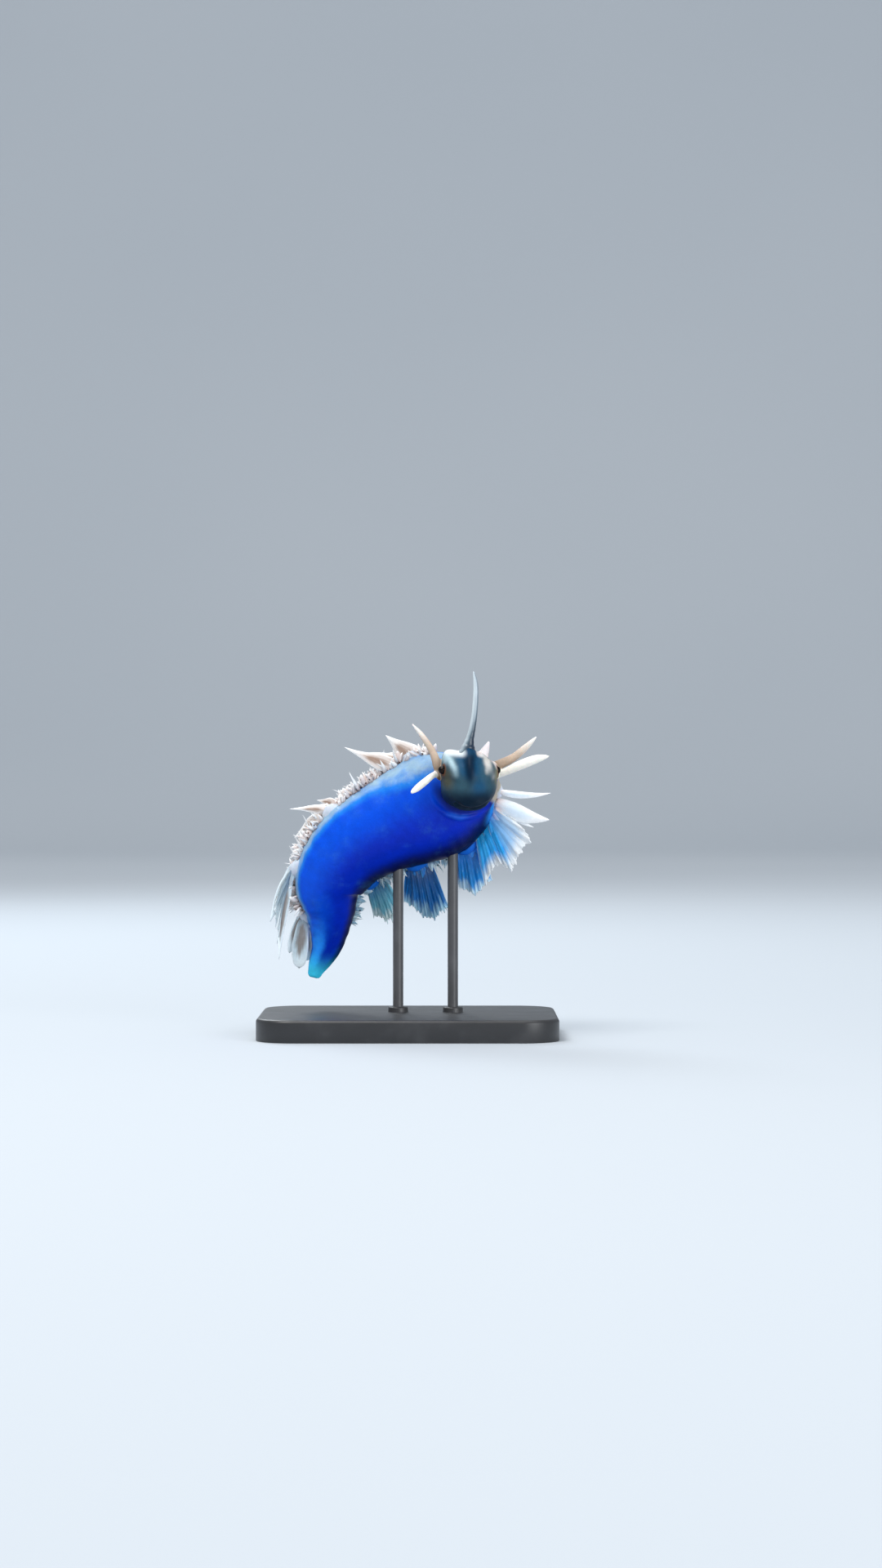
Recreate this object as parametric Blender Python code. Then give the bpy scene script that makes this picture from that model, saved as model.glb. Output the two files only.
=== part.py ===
"""A blue dragon sea slug at life size, swimming, held over a flat base by two short rods.

Metres, +Z up. The origin is the middle of the base's underside. The slug's belly and face look
towards -Y, its back towards +Y. Its head is bent forwards at the top, and its body arches over
to -X, where the tail hangs. The animal's own right side is the outer side of the arch.
"""

import math
import random

import bmesh
import bpy
import numpy as np
from mathutils import Matrix, Vector
from mathutils.geometry import intersect_point_line

MM = 0.001
GAP = 0.3 * MM  # between two nodes that meet
GROWTH = 0.36 * MM  # of a copy that cuts what meets it, a little more than the gap for its coarser facets
MERGE = 0.003 * MM  # points this close after a union or a cut are one
SEED = 7
SHARP = math.radians(50)

# Colours, linear RGB
BODY_BLUE = (0.008, 0.06, 0.55)
HEAD_GREY = (0.30, 0.34, 0.36)
HORN_WHITE = (0.62, 0.70, 0.74)
RHINOPHORE_TAN = (0.62, 0.44, 0.27)
CERAS_WHITE = (0.66, 0.72, 0.72)
EYE_BLACK = (0.004, 0.004, 0.005)
STAND_BLACK = (0.03, 0.032, 0.036)

# The body's axis, one row a station from the tail's tip to the front of the chest:
# x, y, z, half the width and half the thickness, in mm
SPINE = np.array(
    (
        (-12.5, 7.2, 7.9, 1.1, 0.5),
        (-11.2, 6.6, 11.8, 2.15, 1.6),
        (-10.7, 5.5, 16.2, 3.3, 2.8),
        (-10.8, 4.3, 20.4, 4.8, 3.8),
        (-7.9, 3.1, 24.9, 5.6, 4.6),
        (-2.9, 2.3, 28.1, 6.3, 5.3),
        (3.3, 1.7, 30.8, 7.3, 5.6),
        (8.2, 1.0, 32.9, 5.6, 4.7),
        (11.4, 0.6, 34.3, 1.6, 1.4),
    )
)
FRONT = len(SPINE) - 1.0  # the station at the front of the chest
FRONT_CAP = 0.8
TAIL_CAP = 0.7
SEAM = 0.2 * MM  # each length stops this far from the station where it meets the next
BELLY_ROLL = math.radians(14)  # the belly turns this far towards the inside of the arch
BODY_SIDES = 28
BODY_RING = 0.17  # stations from ring to ring
LENGTHS = {  # the body's nodes and the stations that they run between
    "tail": (0.0, 1.5),
    "torso_rear": (1.5, 3.65),
    "torso_mid": (3.65, 5.7),
    "torso_front": (5.7, FRONT),
}

# The head, a blunt muzzle that looks forwards and a little down, in mm and degrees
HEAD_CENTRE = (8.1, -6.3, 34.3)
HEAD_HALF_WIDTH = 3.7
HEAD_HALF_HEIGHT = 3.85
HEAD_FRONT = 5.0
HEAD_BACK = 6.0
HEAD_PITCH = math.radians(8)
HEAD_YAW = math.radians(7)
HEAD_SQUARE = 0.78  # 1 makes an ellipsoid, less a box with round corners
CHIN_NARROWING = 0.16
HEAD_SIDES = 28
HEAD_RINGS = 16

# Places on the head: the angle from its back to its snout, and the one round it from its left
# over its top, in degrees
EYE_PLACE = (110, 160)
EYE_RADIUS = 0.5
EYE_SUNK = 0.05
BROW = ((104, 132), (120, 131), (140, 128), (153, 138), (162, 152))
BROW_HALF = 0.42
UPPER_LIP = ((148, 208), (142, 236), (140, 270), (142, 304), (148, 332))
LOWER_LIP = ((137, 222), (131, 245), (129, 270), (131, 295), (137, 318))
LIP_HALF = 0.36
RIDGE_SUNK = 0.3  # of a fold's half width that its middle lies under the skin
RIDGE_END = 0.45
NAPE_PLACE = (84, 68)  # of the small spike behind the brow
NAPE_AIM = (0.45, 0.15, 1.0)
NAPE_LENGTH = 2.4
NAPE_HALF = 0.42
NAPE_SUNK = 0.6

# Feelers on the head: their points in mm, then half their width there
FEELERS = {
    "horn": (
        ((8.1, -8.0, 36.2), 1.9),
        ((8.1, -8.4, 38.0), 1.15),
        ((8.15, -8.6, 39.3), 0.72),
        ((8.4, -8.7, 41.2), 0.52),
        ((8.75, -8.6, 43.6), 0.43),
        ((9.0, -8.4, 46.2), 0.36),
        ((8.7, -8.2, 48.7), 0.0),
    ),
    "rhinophore_right": (
        ((5.4, -6.8, 34.8), 0.72),
        ((4.3, -7.0, 36.2), 0.64),
        ((3.3, -6.9, 38.0), 0.52),
        ((1.9, -6.4, 40.2), 0.4),
        ((0.45, -5.9, 41.9), 0.0),
    ),
    "rhinophore_left": (
        ((10.3, -5.6, 35.3), 0.75),
        ((12.0, -5.5, 36.3), 0.66),
        ((14.0, -5.6, 37.3), 0.5),
        ((15.8, -5.4, 38.8), 0.38),
        ((17.2, -5.0, 40.2), 0.0),
    ),
    "oral_tentacle_right": (
        ((5.4, -6.6, 35.0), 0.45),
        ((3.7, -7.3, 35.1), 0.42),
        ((2.3, -8.4, 34.1), 0.5),
        ((1.2, -9.3, 33.2), 0.46),
        ((0.4, -9.9, 32.6), 0.0),
    ),
    "oral_tentacle_left": (
        ((10.8, -5.6, 34.6), 0.5),
        ((12.9, -6.4, 35.4), 0.52),
        ((14.9, -7.2, 36.3), 0.64),
        ((17.0, -7.6, 37.1), 0.58),
        ((18.8, -7.6, 37.5), 0.0),
    ),
}
FEELER_SIDES = 10
FEELER_RINGS = 12
FEELER_WAY = Vector((0.3, 0, 1))

# Arms: station and angle round the body, stalk and half the palm's width in mm, how many cerata
# stand from one leading ceras to the next, and the leading cerata from the head's side to the
# tail's: tip in mm, then half the width
ARMS = {
    "arm_left_1": (
        7.88, -6, 0.7, 1.9, 1,
        (
            ((19.2, -1.2, 32.6), 0.42),
            ((19.0, -1.6, 29.0), 1.0),
            ((16.6, -0.9, 26.0), 0.8),
            ((14.1, -0.2, 22.0), 0.8),
            ((12.2, 0.6, 22.8), 0.7),
            ((10.4, 1.4, 19.8), 0.5),
        ),
    ),
    "arm_left_2": (
        6.3, 2, 0.3, 1.9, 2,
        (((11.5, 5.6, 20.4), 0.55), ((9.2, 5.0, 18.3), 0.62), ((7.0, 5.6, 19.2), 0.6)),
    ),
    "arm_left_3": (
        5.22, 0, 0.3, 2.0, 2,
        (
            ((5.6, 6.4, 16.6), 0.6),
            ((3.7, 6.0, 14.9), 0.7),
            ((2.1, 6.4, 15.2), 0.65),
            ((-0.7, 7.0, 17.4), 0.6),
        ),
    ),
    "arm_left_4": (
        3.6, -4, 0.3, 1.7, 2,
        (((-0.9, 7.0, 15.0), 0.6), ((-2.8, 6.4, 14.4), 0.85), ((-4.8, 7.4, 15.2), 0.55)),
    ),
    "arm_right_1": (
        6.02, 186, 0.2, 2.0, 2,
        (
            ((2.4, 5.6, 38.0), 0.7),
            ((-3.1, 0.6, 40.4), 1.2),
            ((-5.4, 5.6, 37.6), 0.6),
            ((-8.7, 0.9, 38.8), 0.95),
        ),
    ),
    "arm_right_2": (
        4.22, 184, 0.2, 1.7, 2,
        (((-12.6, 6.0, 31.6), 0.6), ((-16.2, 2.4, 30.4), 0.7), ((-15.6, 4.2, 26.4), 0.7)),
    ),
    "arm_right_3": (
        3.1, 178, 0.3, 1.6, 2,
        (((-17.6, 5.0, 19.4), 0.55), ((-18.9, 3.4, 14.8), 0.75), ((-17.6, 2.8, 9.6), 0.65)),
    ),
    "arm_right_4": (
        1.9, 188, 0.3, 1.3, 2,
        (((-16.4, 7.6, 10.6), 0.5), ((-15.0, 6.2, 8.6), 0.65), ((-13.9, 7.2, 9.6), 0.7)),
    ),
}
STALK_SUNK = 1.4
PALM_SHAPE = ((0.0, 1.0), (0.5, 0.95), (1.0, 0.7), (1.4, 0.0))  # mm past the stalk, share of its half width
PALM_FLAT = 0.5  # of its width that the palm is thick
STALK_SIDES = 10
FILL_LENGTH = (0.72, 0.92)  # of the leading cerata's length
FILL_HALF = 0.6
FILL_DEPTH = 1.1  # how far behind the leading cerata the shorter ones end
CERAS_THICKNESS = 0.34
CERAS_BOW = 0.07  # of its length that a ceras bends aside at its middle
CERAS_SIDES = 6
CERAS_SHARES = (0.0, 0.28, 0.55, 0.8, 1.0)
CERAS_WIDTHS = (0.72, 1.0, 0.9, 0.55, 0.0)

# Buds, the short cerata of the frill along both sides of the back
FRILL_ANGLES = (192, 201)  # its two rows on the right side; those on the left mirror them
FRILL_STATIONS = (2.3, 5.8)
FRILL_STEP = 0.17
FRILL_CLEAR = (2.9, 1.6)  # kept free round an arm's root and beside its leading cerata
FRILL_END = 0.13  # stations kept free at each end of a length of the body
BUD_LENGTH = (1.1, 2.1)
BUD_LEAN = 0.5
BUD_HALF = 0.45
BUD_SIDES = 5
BUD_SUNK = 0.5

# The stand, in mm
BASE_SIZE = (40, 28, 3)
BASE_CORNER = 5
BASE_EDGE = 0.5
ROD_RADIUS = 0.7
ROD_SIDES = 14
ROD_PLACES = ((-1.4, 2.0), (6.0, 1.6))
ROD_TOP = 30


def clear_scene():
    for old in list(bpy.data.objects):
        bpy.data.objects.remove(old, do_unlink=True)


def surface(name, colour, roughness, metallic=0.0):
    """A plain surface of one colour."""
    made = bpy.data.materials.new(name)
    made.use_nodes = True
    shader = made.node_tree.nodes["Principled BSDF"]
    shader.inputs["Base Color"].default_value = (*colour, 1)
    shader.inputs["Roughness"].default_value = roughness
    shader.inputs["Metallic"].default_value = metallic
    return made


def add_object(name, shape):
    """A new object with the shape's mesh."""
    mesh = bpy.data.meshes.new(name)
    shape.to_mesh(mesh)
    shape.free()
    made = bpy.data.objects.new(name, mesh)
    bpy.context.scene.collection.objects.link(made)
    return made


def loft(name, rings):
    """A closed body through rings of points. A ring of one point is a tip, and an open end is capped."""
    shape = bmesh.new()
    loops = [[shape.verts.new(p) for p in ring] for ring in rings]
    for a, b in zip(loops, loops[1:]):
        sides = max(len(a), len(b))
        for i in range(sides):
            j = (i + 1) % sides
            if len(a) > 1:
                shape.faces.new((a[i], a[j], b[j % len(b)]))
            if len(b) > 1:
                shape.faces.new((a[i % len(a)], b[j], b[i]))
    for loop in (loops[0], loops[-1]):
        if len(loop) > 1:
            shape.faces.new(loop)
    bmesh.ops.triangulate(shape, faces=shape.faces)
    bmesh.ops.recalc_face_normals(shape, faces=shape.faces)
    return add_object(name, shape)


def boolean(body, others, operation):
    """Joins others to the body or cuts them from it in one step, and removes them."""
    group = bpy.data.collections.new("pieces")
    for other in others:
        group.objects.link(other)
    step = body.modifiers.new(operation, "BOOLEAN")
    step.operation = operation
    step.operand_type = "COLLECTION"
    step.collection = group
    step.solver = "EXACT"
    graph = bpy.context.evaluated_depsgraph_get()
    mesh = bpy.data.meshes.new_from_object(body.evaluated_get(graph))
    body.modifiers.clear()
    body.data = mesh
    for other in others:
        bpy.data.objects.remove(other, do_unlink=True)
    bpy.data.collections.remove(group)
    keep_largest(body)
    return body


def keep_largest(body):
    """Leaves only the largest closed surface of a body, with points that lie together made one."""
    shape = bmesh.new()
    shape.from_mesh(body.data)
    left = set(shape.faces)
    shells = []
    while left:
        shell = {left.pop()}
        rim = list(shell)
        while rim:
            near = {f for e in rim.pop().edges for f in e.link_faces} & left
            left -= near
            shell |= near
            rim.extend(near)
        shells.append(shell)
    largest = max(shells, key=lambda shell: sum(f.calc_area() for f in shell))
    scraps = [f for shell in shells if shell is not largest for f in shell]
    bmesh.ops.delete(shape, geom=scraps, context="FACES")
    bmesh.ops.triangulate(shape, faces=shape.faces)
    bmesh.ops.remove_doubles(shape, verts=shape.verts, dist=MERGE)
    bmesh.ops.dissolve_degenerate(shape, edges=shape.edges, dist=MERGE)
    shape.to_mesh(body.data)
    shape.free()


def along(rows, t):
    """The rows' values at station t, on a smooth curve through them."""
    i = min(max(int(math.floor(t)), 0), len(rows) - 2)
    f = t - i
    a, b = rows[i], rows[i + 1]
    before = rows[i - 1] if i else 2 * a - b
    after = rows[i + 2] if i + 2 < len(rows) else 2 * b - a
    square = 2 * before - 5 * a + 4 * b - after
    cube = 3 * a - before - 3 * b + after
    return 0.5 * (2 * a + (b - before) * f + square * f**2 + cube * f**3)


def heading(rows, t, step):
    """The way that the curve through the rows runs at station t."""
    ahead = along(rows, min(t + step, len(rows) - 1))[:3]
    return Vector(ahead - along(rows, max(t - step, 0))[:3]).normalized()


def section(t):
    """The body at station t: its centre, its ways forwards, left and to its belly, and its half sizes."""
    row = along(SPINE, t)
    forward = heading(SPINE, t, 0.01)
    belly = Vector((0, -1, 0))
    belly = (belly - forward * belly.dot(forward)).normalized()
    belly = Matrix.Rotation(BELLY_ROLL, 3, forward) @ belly
    return Vector(row[:3]) * MM, forward, forward.cross(belly), belly, row[3] * MM, row[4] * MM


def body_point(t, angle, grow=0.0):
    """A point on the body: 0 degrees is its left side, 90 its belly, 180 its right side and 270 its back."""
    centre, _, left, belly, width, depth = section(t)
    a = math.radians(angle)
    return centre + left * (width + grow) * math.cos(a) + belly * (depth + grow) * math.sin(a)


def body_normal(t, angle):
    _, _, left, belly, width, depth = section(t)
    a = math.radians(angle)
    return (left * depth * math.cos(a) + belly * width * math.sin(a)).normalized()


def station_size(t):
    """Metres along the axis for one station."""
    near, far = max(t - 0.02, 0), min(t + 0.02, FRONT)
    return float(np.linalg.norm(along(SPINE, far)[:3] - along(SPINE, near)[:3])) * MM / (far - near)


def body_length(name, start, end, grow=0.0):
    """The body between two stations, set back a little at each end that meets another length."""
    near = start + SEAM / station_size(start) if start > 0 else start
    far = end - SEAM / station_size(end) if end < FRONT else end
    count = max(2, round((far - near) / BODY_RING))
    rings = []
    for i in range(count + 1):
        t = near + (far - near) * i / count
        rings.append([body_point(t, 360 * k / BODY_SIDES, grow) for k in range(BODY_SIDES)])
    if start == 0:
        rings.insert(0, [section(0)[0] - section(0)[1] * (TAIL_CAP * MM + grow)])
    if end == FRONT:
        rings.append([section(FRONT)[0] + section(FRONT)[1] * (FRONT_CAP * MM + grow)])
    return loft(name, rings)


def whole_body():
    """The body a little grown, which cuts what meets it."""
    return body_length("cutter", 0.0, FRONT, GROWTH)


def head_axes():
    """The head's ways forwards, to its left and up."""
    level = math.cos(HEAD_PITCH)
    forward = Vector((math.sin(HEAD_YAW) * level, -math.cos(HEAD_YAW) * level, -math.sin(HEAD_PITCH)))
    left = Vector((math.cos(HEAD_YAW), math.sin(HEAD_YAW), 0))
    return forward, left, forward.cross(left)


def squared(value):
    return math.copysign(abs(value) ** HEAD_SQUARE, value)


def head_point(ring, around, grow=0.0):
    """A point on the head. Ring is 0 degrees at its back and 180 at its snout, around 0 at its left and 90 on top."""
    forward, left, up = head_axes()
    a, r = math.radians(around), math.radians(ring)
    size = squared(math.sin(r))
    side, top = squared(math.cos(a)), squared(math.sin(a))
    ahead = -math.cos(r)
    reach = HEAD_FRONT if ahead > 0 else HEAD_BACK
    width = HEAD_HALF_WIDTH * (1 + CHIN_NARROWING * top)
    return (
        Vector(HEAD_CENTRE) * MM
        + left * (width * MM + grow) * size * side
        + up * (HEAD_HALF_HEIGHT * MM + grow) * size * top
        + forward * (reach * MM + grow) * ahead
    )


def head_normal(ring, around):
    step = 2.0
    a = head_point(ring + step, around) - head_point(ring - step, around)
    b = head_point(ring, around + step) - head_point(ring, around - step)
    normal = a.cross(b).normalized()
    outwards = head_point(ring, around) - Vector(HEAD_CENTRE) * MM
    return normal if normal.dot(outwards) > 0 else -normal


def head_shell(name, grow=0.0):
    rings = [[head_point(0, 0, grow)]]
    for i in range(1, HEAD_RINGS):
        ring = 180 * i / HEAD_RINGS
        rings.append([head_point(ring, 360 * k / HEAD_SIDES, grow) for k in range(HEAD_SIDES)])
    rings.append([head_point(180, 0, grow)])
    return loft(name, rings)


def tube(name, points, halves, side, sides, rings, flat=1.0):
    """A round or flat tube on a smooth curve through points, with a tip where its last half size is 0."""
    rows = np.array([(*p, h) for p, h in zip(points, halves)])
    last = len(rows) - 1
    made = []
    for i in range(rings + 1):
        if i == rings and halves[-1] == 0:
            made.append([Vector(rows[-1][:3])])
            break
        t = last * i / rings
        row = along(rows, t)
        forward = heading(rows, t, 0.05)
        across = (side - forward * side.dot(forward)).normalized()
        over = forward.cross(across)
        half = max(row[3], 0.12 * MM)
        ring = []
        for k in range(sides):
            a = 2 * math.pi * k / sides
            ring.append(Vector(row[:3]) + (across * math.cos(a) + over * flat * math.sin(a)) * half)
        made.append(ring)
    return loft(name, made)


def feeler(name, rows):
    """A horn, a rhinophore or an oral tentacle, cut off where it meets the head."""
    points = [Vector(p) * MM for p, _ in rows]
    halves = [h * MM for _, h in rows]
    made = tube(name, points, halves, FEELER_WAY, FEELER_SIDES, FEELER_RINGS, 0.9)
    return boolean(made, [head_shell("cutter", GROWTH), whole_body()], "DIFFERENCE")


def ridge(name, places, half, mirror=False):
    """A fold of skin that follows places on the head and thins out at both ends."""
    last = len(places) - 1
    points = []
    for ring, around in places:
        around = 180 - around if mirror else around
        points.append(head_point(ring, around) - head_normal(ring, around) * half * RIDGE_SUNK * MM)
    halves = [half * MM * (RIDGE_END if i in (0, last) else 1) for i in range(last + 1)]
    return tube(name, points, halves, Vector((0, -1, 0.2)), 8, 10)


def nape_spike():
    root = head_point(*NAPE_PLACE) - head_normal(*NAPE_PLACE) * NAPE_SUNK * MM
    tip = root + Vector(NAPE_AIM).normalized() * NAPE_LENGTH * MM
    halves = [NAPE_HALF * MM, NAPE_HALF * 0.85 * MM, 0]
    return tube("nape", [root, root.lerp(tip, 0.55), tip], halves, Vector((1, 0, 0)), 6, 4)


def eye_place(mirror):
    ring, around = EYE_PLACE
    around = 180 - around if mirror else around
    return head_point(ring, around) - head_normal(ring, around) * EYE_SUNK * MM


def ball(name, place, radius):
    shape = bmesh.new()
    bmesh.ops.create_uvsphere(shape, u_segments=14, v_segments=10, radius=radius)
    bmesh.ops.translate(shape, verts=shape.verts, vec=place)
    return add_object(name, shape)


def make_head():
    """The head with its brows, lips and nape spike, cut clear of the body and the eyes."""
    folds = [ridge(f"brow_{mirror}", BROW, BROW_HALF, mirror) for mirror in (False, True)]
    folds += [ridge(f"lip_{i}", places, LIP_HALF) for i, places in enumerate((UPPER_LIP, LOWER_LIP))]
    head = boolean(head_shell("head"), [*folds, nape_spike()], "UNION")
    sockets = [ball("socket", eye_place(mirror), EYE_RADIUS * MM + GAP) for mirror in (False, True)]
    return boolean(head, [whole_body(), *sockets], "DIFFERENCE")


def ceras(name, root, tip, side, half, bow):
    """One finger, a flat leaf that tapers to its tip and bends a little aside."""
    way = tip - root
    points = [root + way * s + bow * 4 * s * (1 - s) for s in CERAS_SHARES]
    halves = [half * w for w in CERAS_WIDTHS]
    return tube(name, points, halves, side, CERAS_SIDES, len(CERAS_SHARES), CERAS_THICKNESS * MM / half)


def fan(leads, between, draw):
    """An arm's cerata, each as its tip, its half width and the share of the way to the tip that it reaches."""
    made = []
    for i, (tip, half) in enumerate(leads):
        made.append((Vector(tip) * MM, half * MM, 1.0))
        if i + 1 == len(leads):
            break
        for k in range(between):
            middle = Vector(tip).lerp(Vector(leads[i + 1][0]), (k + 1) / (between + 1)) * MM
            middle.y += FILL_DEPTH * MM * draw.uniform(0.6, 1.0)
            made.append((middle, FILL_HALF * MM * draw.uniform(0.9, 1.1), draw.uniform(*FILL_LENGTH)))
    return made


def arm(name, station, angle, stalk, palm_half, between, leads, draw):
    """A short stalk whose end widens to a palm, with its fan of cerata."""
    out = body_normal(station, angle)
    forward = section(station)[1]
    root = body_point(station, angle)
    palm = root + out * stalk * MM
    points = [root - out * STALK_SUNK * MM] + [palm + out * past * MM for past, _ in PALM_SHAPE]
    halves = [palm_half * 0.8 * MM] + [palm_half * share * MM for _, share in PALM_SHAPE]
    body = tube(name, points, halves, forward, STALK_SIDES, 6, PALM_FLAT)
    cerata = fan(leads, between, draw)
    fingers = []
    for i, (tip, half, reach) in enumerate(cerata):
        share = 1 - 2 * i / (len(cerata) - 1)
        start = palm + forward * palm_half * 0.8 * MM * share
        way = (tip - start) * reach
        side = way.cross(Vector((0, 1, 0))).normalized()
        bow = side * way.length * draw.uniform(-CERAS_BOW, CERAS_BOW)
        fingers.append(ceras(f"{name}_{i}", start, start + way, side, half, bow))
    boolean(body, fingers, "UNION")
    return boolean(body, [whole_body(), head_shell("cutter", GROWTH)], "DIFFERENCE")


def beside_arm(place, side):
    """Whether a bud at this place on the body would touch an arm of its side."""
    foot = body_point(*place)
    tip = foot + body_normal(*place) * BUD_LENGTH[1] * MM
    for name, (station, angle, _, _, _, leads) in ARMS.items():
        root = body_point(station, angle)
        if not name.startswith(side):
            continue
        if (foot - root).length < FRILL_CLEAR[0] * MM:
            return True
        for end, _ in leads:
            nearest, share = intersect_point_line(tip, root, Vector(end) * MM)
            if 0 < share < 1 and (nearest - tip).length < FRILL_CLEAR[1] * MM:
                return True
    return False


def frill_places():
    """Stations and angles of the buds, two staggered rows on each side of the back, clear of the arms."""
    for side in ("arm_right", "arm_left"):
        for row, angle in enumerate(FRILL_ANGLES):
            first = FRILL_STATIONS[0] + row * FRILL_STEP / 2
            for i in range(int((FRILL_STATIONS[1] - first) / FRILL_STEP)):
                place = (first + i * FRILL_STEP, angle if side == "arm_right" else 180 - angle)
                if not beside_arm(place, side):
                    yield place


def frill(start, end, draw):
    """The buds on one length of the body."""
    buds = []
    for t, angle in frill_places():
        length = draw.uniform(*BUD_LENGTH) * MM
        lean = draw.uniform(-BUD_LEAN, BUD_LEAN)
        if not start + FRILL_END < t < end - FRILL_END:
            continue
        normal = body_normal(t, angle)
        forward = section(t)[1]
        root = body_point(t, angle) - normal * BUD_SUNK * MM
        tip = root + (normal + forward * lean).normalized() * (length + BUD_SUNK * MM)
        halves = [BUD_HALF * MM, BUD_HALF * 0.8 * MM, 0]
        points = [root, root.lerp(tip, 0.6), tip]
        buds.append(tube(f"bud_{len(buds)}", points, halves, forward, BUD_SIDES, 3, 0.85))
    return buds


def make_base():
    """A flat plate with round corners and a softened upper edge."""
    width, depth, height = (size * MM for size in BASE_SIZE)
    shape = bmesh.new()
    bmesh.ops.create_cube(shape, size=1)
    bmesh.ops.scale(shape, verts=shape.verts, vec=(width, depth, height))
    bmesh.ops.translate(shape, verts=shape.verts, vec=(0, 0, height / 2))
    upright = [e for e in shape.edges if abs(e.verts[0].co.z - e.verts[1].co.z) > height / 2]
    bmesh.ops.bevel(shape, geom=upright, offset=BASE_CORNER * MM, segments=6, profile=0.5, affect="EDGES")
    rim = [e for e in shape.edges if all(v.co.z > height / 2 for v in e.verts)]
    rim = [e for e in rim if e.calc_face_angle() > 1.0]
    bmesh.ops.bevel(shape, geom=rim, offset=BASE_EDGE * MM, segments=2, profile=0.5, affect="EDGES")
    return add_object("stand_base", shape)


def make_rod(name, place):
    """A rod from the base up to the slug, which rests on its hollowed top."""
    bottom = BASE_SIZE[2] + GAP / MM
    radius = ROD_RADIUS * MM
    shape = bmesh.new()
    bmesh.ops.create_cone(
        shape, cap_ends=True, segments=ROD_SIDES, radius1=radius, radius2=radius, depth=(ROD_TOP - bottom) * MM
    )
    bmesh.ops.translate(shape, verts=shape.verts, vec=Vector((*place, (ROD_TOP + bottom) / 2)) * MM)
    return boolean(add_object(name, shape), [whole_body()], "DIFFERENCE")


def dress(node, finish):
    """Gives a node its finish and smooth shading, and its origin in its own middle."""
    node.data.materials.clear()
    node.data.materials.append(finish)
    node.data.shade_smooth()
    node.data.set_sharp_from_angle(angle=SHARP)
    corners = [Vector(c) for c in node.bound_box]
    middle = sum(corners, Vector()) / len(corners)
    node.data.transform(Matrix.Translation(-middle))
    node.location = middle


def build():
    clear_scene()
    draw = random.Random(SEED)
    blue = surface("body_blue", BODY_BLUE, 0.35)
    grey = surface("head_grey", HEAD_GREY, 0.4)
    white = surface("horn_white", HORN_WHITE, 0.35)
    tan = surface("rhinophore_tan", RHINOPHORE_TAN, 0.4)
    pale = surface("ceras_white", CERAS_WHITE, 0.4)
    black = surface("eye_black", EYE_BLACK, 0.1)
    plate = surface("stand_black", STAND_BLACK, 0.45)
    for name, (start, end) in LENGTHS.items():
        length = body_length(name, start, end)
        buds = frill(start, end, draw)
        dress(boolean(length, buds, "UNION") if buds else length, blue)
    dress(make_head(), grey)
    for name, rows in FEELERS.items():
        dress(feeler(name, rows), tan if name.startswith("rhinophore") else white)
    for name, mirror in (("eye_right", False), ("eye_left", True)):
        dress(ball(name, eye_place(mirror), EYE_RADIUS * MM), black)
    for name, row in ARMS.items():
        dress(arm(name, *row, draw), pale)
    dress(make_base(), plate)
    for i, place in enumerate(ROD_PLACES):
        dress(make_rod(f"stand_rod_{i + 1}", place), plate)


build()
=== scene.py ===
"""A blue dragon sea slug at life size, finished for show: skin, cerata, frill, eyes, horn and display stand."""

import math
import random

import bpy
import numpy as np
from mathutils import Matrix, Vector
from mathutils.kdtree import KDTree


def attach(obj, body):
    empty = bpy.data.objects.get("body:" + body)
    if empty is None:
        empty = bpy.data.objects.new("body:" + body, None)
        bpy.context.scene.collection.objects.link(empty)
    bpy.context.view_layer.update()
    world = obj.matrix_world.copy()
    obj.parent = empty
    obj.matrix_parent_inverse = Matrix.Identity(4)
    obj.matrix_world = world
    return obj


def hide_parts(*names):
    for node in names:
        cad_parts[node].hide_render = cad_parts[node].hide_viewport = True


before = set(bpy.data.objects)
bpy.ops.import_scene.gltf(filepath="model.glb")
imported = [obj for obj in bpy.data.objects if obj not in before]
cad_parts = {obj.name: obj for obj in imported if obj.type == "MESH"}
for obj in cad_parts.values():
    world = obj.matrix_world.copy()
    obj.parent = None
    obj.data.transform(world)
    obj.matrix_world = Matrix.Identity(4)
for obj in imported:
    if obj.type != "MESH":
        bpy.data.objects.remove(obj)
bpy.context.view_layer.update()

MM = 0.001
SEED = 7


def srgb(red, green, blue):
    """A colour given in the 0 to 255 of a screen, as linear RGBA."""
    return tuple((v / 255 / 12.92) if v < 11 else ((v / 255 + 0.055) / 1.055) ** 2.4 for v in (red, green, blue)) + (1.0,)


# The body's axis, one row a station from the tail's tip to the front of the chest:
# x, y, z, half the width and half the thickness, in mm
SPINE = np.array(
    (
        (-12.5, 7.2, 7.9, 1.1, 0.5),
        (-11.2, 6.6, 11.8, 2.15, 1.6),
        (-10.7, 5.5, 16.2, 3.3, 2.8),
        (-10.8, 4.3, 20.4, 4.8, 3.8),
        (-7.9, 3.1, 24.9, 5.6, 4.6),
        (-2.9, 2.3, 28.1, 6.3, 5.3),
        (3.3, 1.7, 30.8, 7.3, 5.6),
        (8.2, 1.0, 32.9, 5.6, 4.7),
        (11.4, 0.6, 34.3, 1.6, 1.4),
    )
)
FRONT = len(SPINE) - 1.0
FRONT_CAP = 0.8
TAIL_CAP = 0.7
BELLY_ROLL = math.radians(14)
BODY_SEGMENTS = 128
BODY_RINGS = 230
CAP_SHARE = 0.03

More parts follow.
